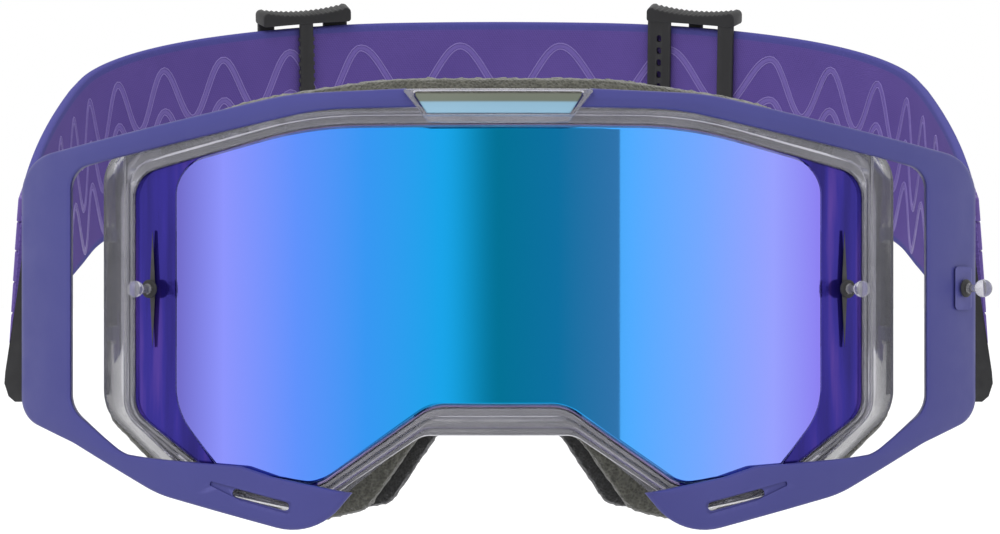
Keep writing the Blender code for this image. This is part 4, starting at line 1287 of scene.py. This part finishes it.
def webbing_mesh(start, end):
    mesh = bmesh.new()
    uv = mesh.loops.layers.uv.new("strap")
    profile = strap_profile()
    count = max(2, round((end - start) / STRAP_STEP))
    travels = [start + (end - start) * index / count for index in range(count + 1)]
    grid = [[mesh.verts.new(strap_point(travel, p.x, p.y)) for p in profile] for travel in travels]
    for step in range(count):
        for index in range(len(profile)):
            after = (index + 1) % len(profile)
            face = mesh.faces.new((grid[step][index], grid[step + 1][index], grid[step + 1][after],
                                   grid[step][after]))
            places = ((step, index), (step + 1, index), (step + 1, after), (step, after))
            for corner, (row, column) in zip(face.loops, places):
                corner[uv].uv = (travels[row], profile[column].y)
    for row in (0, count):
        face = mesh.faces.new(grid[row])
        for corner, point in zip(face.loops, profile):
            corner[uv].uv = (travels[row], point.y)
    return mesh


def ridge(mesh, path, out, width, height, slot):
    """A low ridge on the strap along (travel, up) points. Height is negative on the inside."""
    rails = [[], [], [], []]
    for index, (travel, up) in enumerate(path):
        before = path[max(index - 1, 0)]
        after = path[min(index + 1, len(path) - 1)]
        along = Vector((after[0] - before[0], after[1] - before[1])).normalized()
        side_step = Vector((-along.y, along.x)) * (width / 2)
        for rail, (share, layer) in zip(rails, ((-1, 0.0), (-0.6, 1.0), (0.6, 1.0), (1, 0.0))):
            place = Vector((travel, up)) + side_step * share
            rail.append(mesh.verts.new(strap_point(place.x, out + height * layer, place.y)))
    skin_rails(mesh, rails, closed_section=True, closed_path=False, slot=slot)
    mesh.faces.new([rail[0] for rail in rails]).material_index = slot
    mesh.faces.new([rail[-1] for rail in rails]).material_index = slot


def wave_turns(travel):
    """Whole waves from the first peak: long at the back of the head, shorter at the sides."""
    way = travel - WAVE_FIRST_PEAK
    span = WAVE_RIGHT_SPAN if way > 0 else WAVE_LEFT_SPAN
    inside = min(abs(way), span)
    turns = WAVE_TURNS * inside / span + (abs(way) - inside) / WAVE_SIDE_LENGTH
    return math.copysign(turns, way)


def wave_path(start, end, middle, shift):
    """A wave, moved sideways from its own line by shift."""
    count = max(2, round((end - start) / WAVE_STEP))
    centre = []
    for index in range(count + 1):
        travel = start + (end - start) * index / count
        centre.append(Vector((travel, middle + WAVE_HEIGHT * math.cos(2 * math.pi * wave_turns(travel)))))
    points = []
    for index, point in enumerate(centre):
        along = (centre[min(index + 1, count)] - centre[max(index - 1, 0)]).normalized()
        points.append(point + Vector((-along.y, along.x)) * shift)
    return points


def strap_mesh(start, end, print_start, print_end):
    mesh = webbing_mesh(start, end)
    inside = -STRAP_HALF_THICKNESS
    for middle in WAVE_MIDDLES:
        for shift in (-WAVE_LINE_GAP / 2, WAVE_LINE_GAP / 2):
            path = wave_path(print_start, print_end, middle, shift)
            ridge(mesh, path, inside + 0.00002, WAVE_LINE_WIDTH, -0.00014, 1)
        path = wave_path(print_start, print_end, middle, 0.0)
        ridge(mesh, path, inside + 0.00002, WAVE_LINE_GAP - WAVE_LINE_WIDTH, -0.00004, 2)
    return mesh


def stitch_rows(mesh, side):
    """Box stitching that holds the strap end to its clip, on the outside."""
    count = 26
    row_half = 0.0198
    pitch = 2 * row_half / count
    stitch = pitch * 0.68
    for inset in (0.0015, 0.0028):
        travel = side * (STRAP_END - inset)
        for index in range(count):
            low = -row_half + pitch * index
            path = [(travel, low), (travel, low + stitch / 2), (travel, low + stitch)]
            ridge(mesh, path, STRAP_HALF_THICKNESS - 0.00002, 0.00032, 0.00022, 3)


def add_strap():
    materials = [WEBBING, PRINT, WAVE_FILL, THREAD]
    mesh = strap_mesh(-STRAP_SPLIT, STRAP_SPLIT, -STRAP_SPLIT, STRAP_SPLIT)
    back = make_piece(mesh, "strap_back", materials)
    attach(back, "goggles", "strap_band")
    for side in (-1, 1):
        travels = sorted((side * STRAP_SPLIT, side * STRAP_END))
        prints = sorted((side * STRAP_SPLIT, side * STRAP_PRINT_END))
        mesh = strap_mesh(*travels, *prints)
        stitch_rows(mesh, side)
        piece = make_piece(mesh, "strap_side_" + side_name(side), materials)
        start_point = strap_point(side * STRAP_BLEND_START, 0.0, 0.0)
        end_point = strap_point(side * STRAP_BLEND_END, 0.0, 0.0)
        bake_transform(piece)
        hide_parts("strap_end_" + side_name(side))


def strap_solid(outline, low, high, width, side, centre, slices=0.0015, angle=35.0, segments=3):
    """A rounded plate in the strap's own coordinates: outline is (along, up) from centre."""
    mesh = prism(outline, low, high)
    outward_faces(mesh)
    if width > 0:
        soften(mesh, width, angle, segments)
    slice_along_x(mesh, slices)
    warp(mesh, lambda point: strap_point(side * (centre + point.x), point.y, point.z))
    outward_faces(mesh)
    return mesh


def add_patches():
    """Five rows of three raised blocks, in a staircase."""
    low_out = STRAP_HALF_THICKNESS + GAP - 0.0002
    high_out = STRAP_HALF_THICKNESS + GAP + PATCH_THICKNESS
    tops = [low for low, _ in PATCH_ROWS[1:]] + [PATCH_TOP]
    for side in (-1, 1):
        whole = bmesh.new()
        for (low, offset), top in zip(PATCH_ROWS, tops):
            low += PATCH_ROW_GAP
            high = top - PATCH_ROW_GAP
            for column in range(PATCH_COLUMNS):
                a = offset + PATCH_LENGTH * column / PATCH_COLUMNS + PATCH_GROOVE
                b = offset + PATCH_LENGTH * (column + 1) / PATCH_COLUMNS - PATCH_GROOVE
                corners = ((a, low), (b, low), (b + PATCH_SKEW, high), (a + PATCH_SKEW, high))
                outline = rounded_polygon([(*corner, 0.0004) for corner in corners], 3)
                block = strap_solid(outline, low_out, high_out, 0.0002, side, PATCH_START, 0.004)
                merge_into(whole, block)
        piece = make_piece(whole, "patch_" + side_name(side), [BLOCKS])
        attach(piece, "strap_clip_" + side_name(side), "strap_patch_" + side_name(side))


# Sliders and clips.

def slider_rail_outline(sign):
    """A rail with a shallow curved outer edge and a row of small grip teeth."""
    half = SLIDER_HALF_WIDTH
    reach = half - 0.0016
    outer = []
    for index in range(SLIDER_TEETH * 2 + 1):
        share = index / SLIDER_TEETH - 1
        dip = SLIDER_DIP * (1 - share ** 2)
        tooth = SLIDER_TOOTH if index % 2 else 0.0
        outer.append((reach * share, sign * (SLIDER_HALF_HEIGHT - dip - tooth)))
    corners = rounded_polygon(((half, SLIDER_HALF_HEIGHT, 0.0012), (half, SLIDER_RAIL_START, 0.0008),
                               (-half, SLIDER_RAIL_START, 0.0008), (-half, SLIDER_HALF_HEIGHT, 0.0012)), 4)
    return outer + [(along, sign * up) for along, up in corners]


def slider_plate(outline, out_a, out_b, width, side, **options):
    """A plate on the slider between two distances from the strap, in either order."""
    low, high = sorted((out_a, out_b))
    return strap_solid(outline, low, high, width, side, SLIDER_TRAVEL, **options)


def evenly(count, pitch):
    """Places in a row about zero."""
    return [(index - (count - 1) / 2) * pitch for index in range(count)]


def slider_mesh(side):
    """Two rails, two bars on the strap's face and a centre bar on its other side."""
    centre_face = side
    whole = bmesh.new()
    for sign in (1, -1):
        merge_into(whole, slider_plate(slider_rail_outline(sign), -SLIDER_BAR_OUTER, SLIDER_BAR_OUTER, 0.0003,
                                       side, angle=60.0))
    half = SLIDER_HALF_WIDTH
    bars = (
        ("centre", -SLIDER_CENTRE_BAR, SLIDER_CENTRE_BAR, centre_face),
        ("wide", -half + 0.0003, -half + SLIDER_WIDE_BAR, -centre_face),
        ("side", half - SLIDER_SIDE_BAR, half - 0.0003, -centre_face),
    )
    for name, low, high, face in bars:
        middle = (low + high) / 2
        outline = rectangle(middle, 0.0, (high - low) / 2, SLIDER_RAIL_START + 0.0008)
        outer = SLIDER_BAR_OUTER - 0.0002
        bar = make_piece(slider_plate(outline, face * SLIDER_BAR_INNER, face * outer, 0.0004, side), name, [])
        if name == "wide":
            for up in evenly(SLIDER_HOLES, SLIDER_HOLE_PITCH):
                hole = rounded_rectangle(middle, up, 0.0006, 0.0009, 0.00055)
                cut_with(bar, slider_plate(hole, face * 0.0012, face * 0.0040, 0.0, side))
        whole.from_mesh(bar.data)
        bpy.data.objects.remove(bar, do_unlink=True)
    inner = centre_face * (SLIDER_BAR_INNER + 0.0003)
    outer = centre_face * (SLIDER_BAR_OUTER - 0.0004)
    for up in evenly(SLIDER_GRIPS, SLIDER_GRIP_PITCH):
        for along in (-SLIDER_CENTRE_BAR, SLIDER_CENTRE_BAR):
            grip = rectangle(along, up, 0.0003, 0.0005)
            merge_into(whole, slider_plate(grip, inner, outer, 0.0001, side, segments=1))
    return whole


def add_sliders():
    for side in (-1, 1):
        piece = make_piece(slider_mesh(side), "slide_buckle_" + side_name(side), [BLACK])
        attach(piece, "strap_slider_" + side_name(side), "slider_" + side_name(side))


def add_clips():
    """Each clip keeps its CAD shape, with rounded edges."""
    for side in (-1, 1):
        node = "clip_" + side_name(side)
        mesh = bmesh.new()
        mesh.from_mesh(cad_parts[node].data)
        bmesh.ops.remove_doubles(mesh, verts=mesh.verts[:], dist=0.00002)
        flat = math.radians(4.0)
        bmesh.ops.dissolve_limit(mesh, angle_limit=flat, verts=mesh.verts[:], edges=mesh.edges[:])
        piece = make_piece(mesh, "clip_body_" + side_name(side), [BLACK])
        modifier = piece.modifiers.new("edges", "BEVEL")
        modifier.width = 0.0003
        modifier.segments = 2
        modifier.angle_limit = math.radians(35.0)
        modifier.harden_normals = True
        attach(piece, "strap_clip_" + side_name(side), node)
        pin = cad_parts["hinge_pin_" + side_name(side)]
        pin.data.materials.clear()
        pin.data.materials.append(STEEL)


# Studio.

def add_floor():
    mesh = bmesh.new()
    bmesh.ops.create_circle(mesh, cap_ends=True, segments=96, radius=6.0)
    graph = Graph("floor_white", (0.90, 0.90, 0.91), 0.8)
    graph.set("Emission Color", (1.0, 1.0, 1.0, 1.0))
    graph.set("Emission Strength", 0.18)
    floor = make_piece(mesh, "studio_floor", [graph.material])
    floor.location.z = FLOOR_Z
    floor.visible_glossy = False


def card_glow(fade_start, fade_end):
    """Light that fades along the card, so that its left end shows as a soft edge."""
    material = bpy.data.materials.new("dark_card")
    material.use_nodes = True
    nodes = material.node_tree.nodes
    links = material.node_tree.links
    nodes.clear()
    place = nodes.new("ShaderNodeTexCoord")
    split = nodes.new("ShaderNodeSeparateXYZ")
    fade = nodes.new("ShaderNodeMapRange")
    fade.interpolation_type = "SMOOTHSTEP"
    fade.inputs["From Min"].default_value = fade_start
    fade.inputs["From Max"].default_value = fade_end
    fade.inputs["To Min"].default_value = 1.0
    fade.inputs["To Max"].default_value = CARD_SHADE
    glow = nodes.new("ShaderNodeEmission")
    output = nodes.new("ShaderNodeOutputMaterial")
    links.new(place.outputs["Object"], split.inputs["Vector"])
    links.new(split.outputs["X"], fade.inputs["Value"])
    links.new(fade.outputs["Result"], glow.inputs["Strength"])
    links.new(glow.outputs["Emission"], output.inputs["Surface"])
    return material


def add_card():
    """An upright card that the lens reflects. The camera doesn't see it."""
    left = -CARD_DISTANCE * math.tan(CARD_LEFT)
    right = CARD_DISTANCE * math.tan(CARD_RIGHT)
    middle = (left + right) / 2
    half_width = (right - left) / 2
    mesh = bmesh.new()
    corners = rectangle(0.0, 0.0, half_width, CARD_HEIGHT / 2)
    mesh.faces.new([mesh.verts.new((a, 0.0, b)) for a, b in corners])
    data = bpy.data.meshes.new("dark_card")
    mesh.to_mesh(data)
    mesh.free()
    data.materials.append(card_glow(-half_width, CARD_FADE_END - middle))
    card = add_object("dark_card", data)
    card.location = (middle, -CARD_DISTANCE, 0.0)
    card.visible_camera = False
    card.visible_diffuse = False
    card.visible_shadow = False
    card.visible_transmission = False


def add_key_light():
    data = bpy.data.lights.new("key_light", "AREA")
    data.shape = "RECTANGLE"
    data.size = 0.8
    data.size_y = 0.5
    data.energy = 5.0
    light = add_object("key_light", data)
    light.location = (-0.25, -0.55, 0.85)
    aim = Vector((0.0, -0.02, 0.0)) - light.location
    light.rotation_euler = aim.to_track_quat("-Z", "Y").to_euler()
    light.visible_glossy = False


def add_studio():
    world = bpy.data.worlds.new("studio_world")
    world.use_nodes = True
    background = world.node_tree.nodes["Background"]
    background.inputs["Color"].default_value = (1.0, 1.0, 1.0, 1.0)
    background.inputs["Strength"].default_value = 1.0
    bpy.context.scene.world = world
    bpy.context.scene.view_settings.view_transform = "Standard"
    add_floor()
    add_card()
    add_key_light()


def add_camera():
    data = bpy.data.cameras.new("camera")
    data.lens = 135.0
    data.sensor_width = 36.0
    data.clip_start = 0.01
    camera = add_object("camera", data)
    camera.location = (0.0003, -0.8020, 0.0)
    camera.rotation_euler = (math.radians(90.0), 0.0, 0.0)
    bpy.context.scene.camera = camera


add_camera()
add_inner_frame()
add_lens()
add_lens_seal()
add_face_foam()
add_vent_foams()
add_outriggers()
add_badge()
add_posts()
add_outrigger_post()
add_strap()
add_patches()
add_sliders()
add_clips()
add_studio()
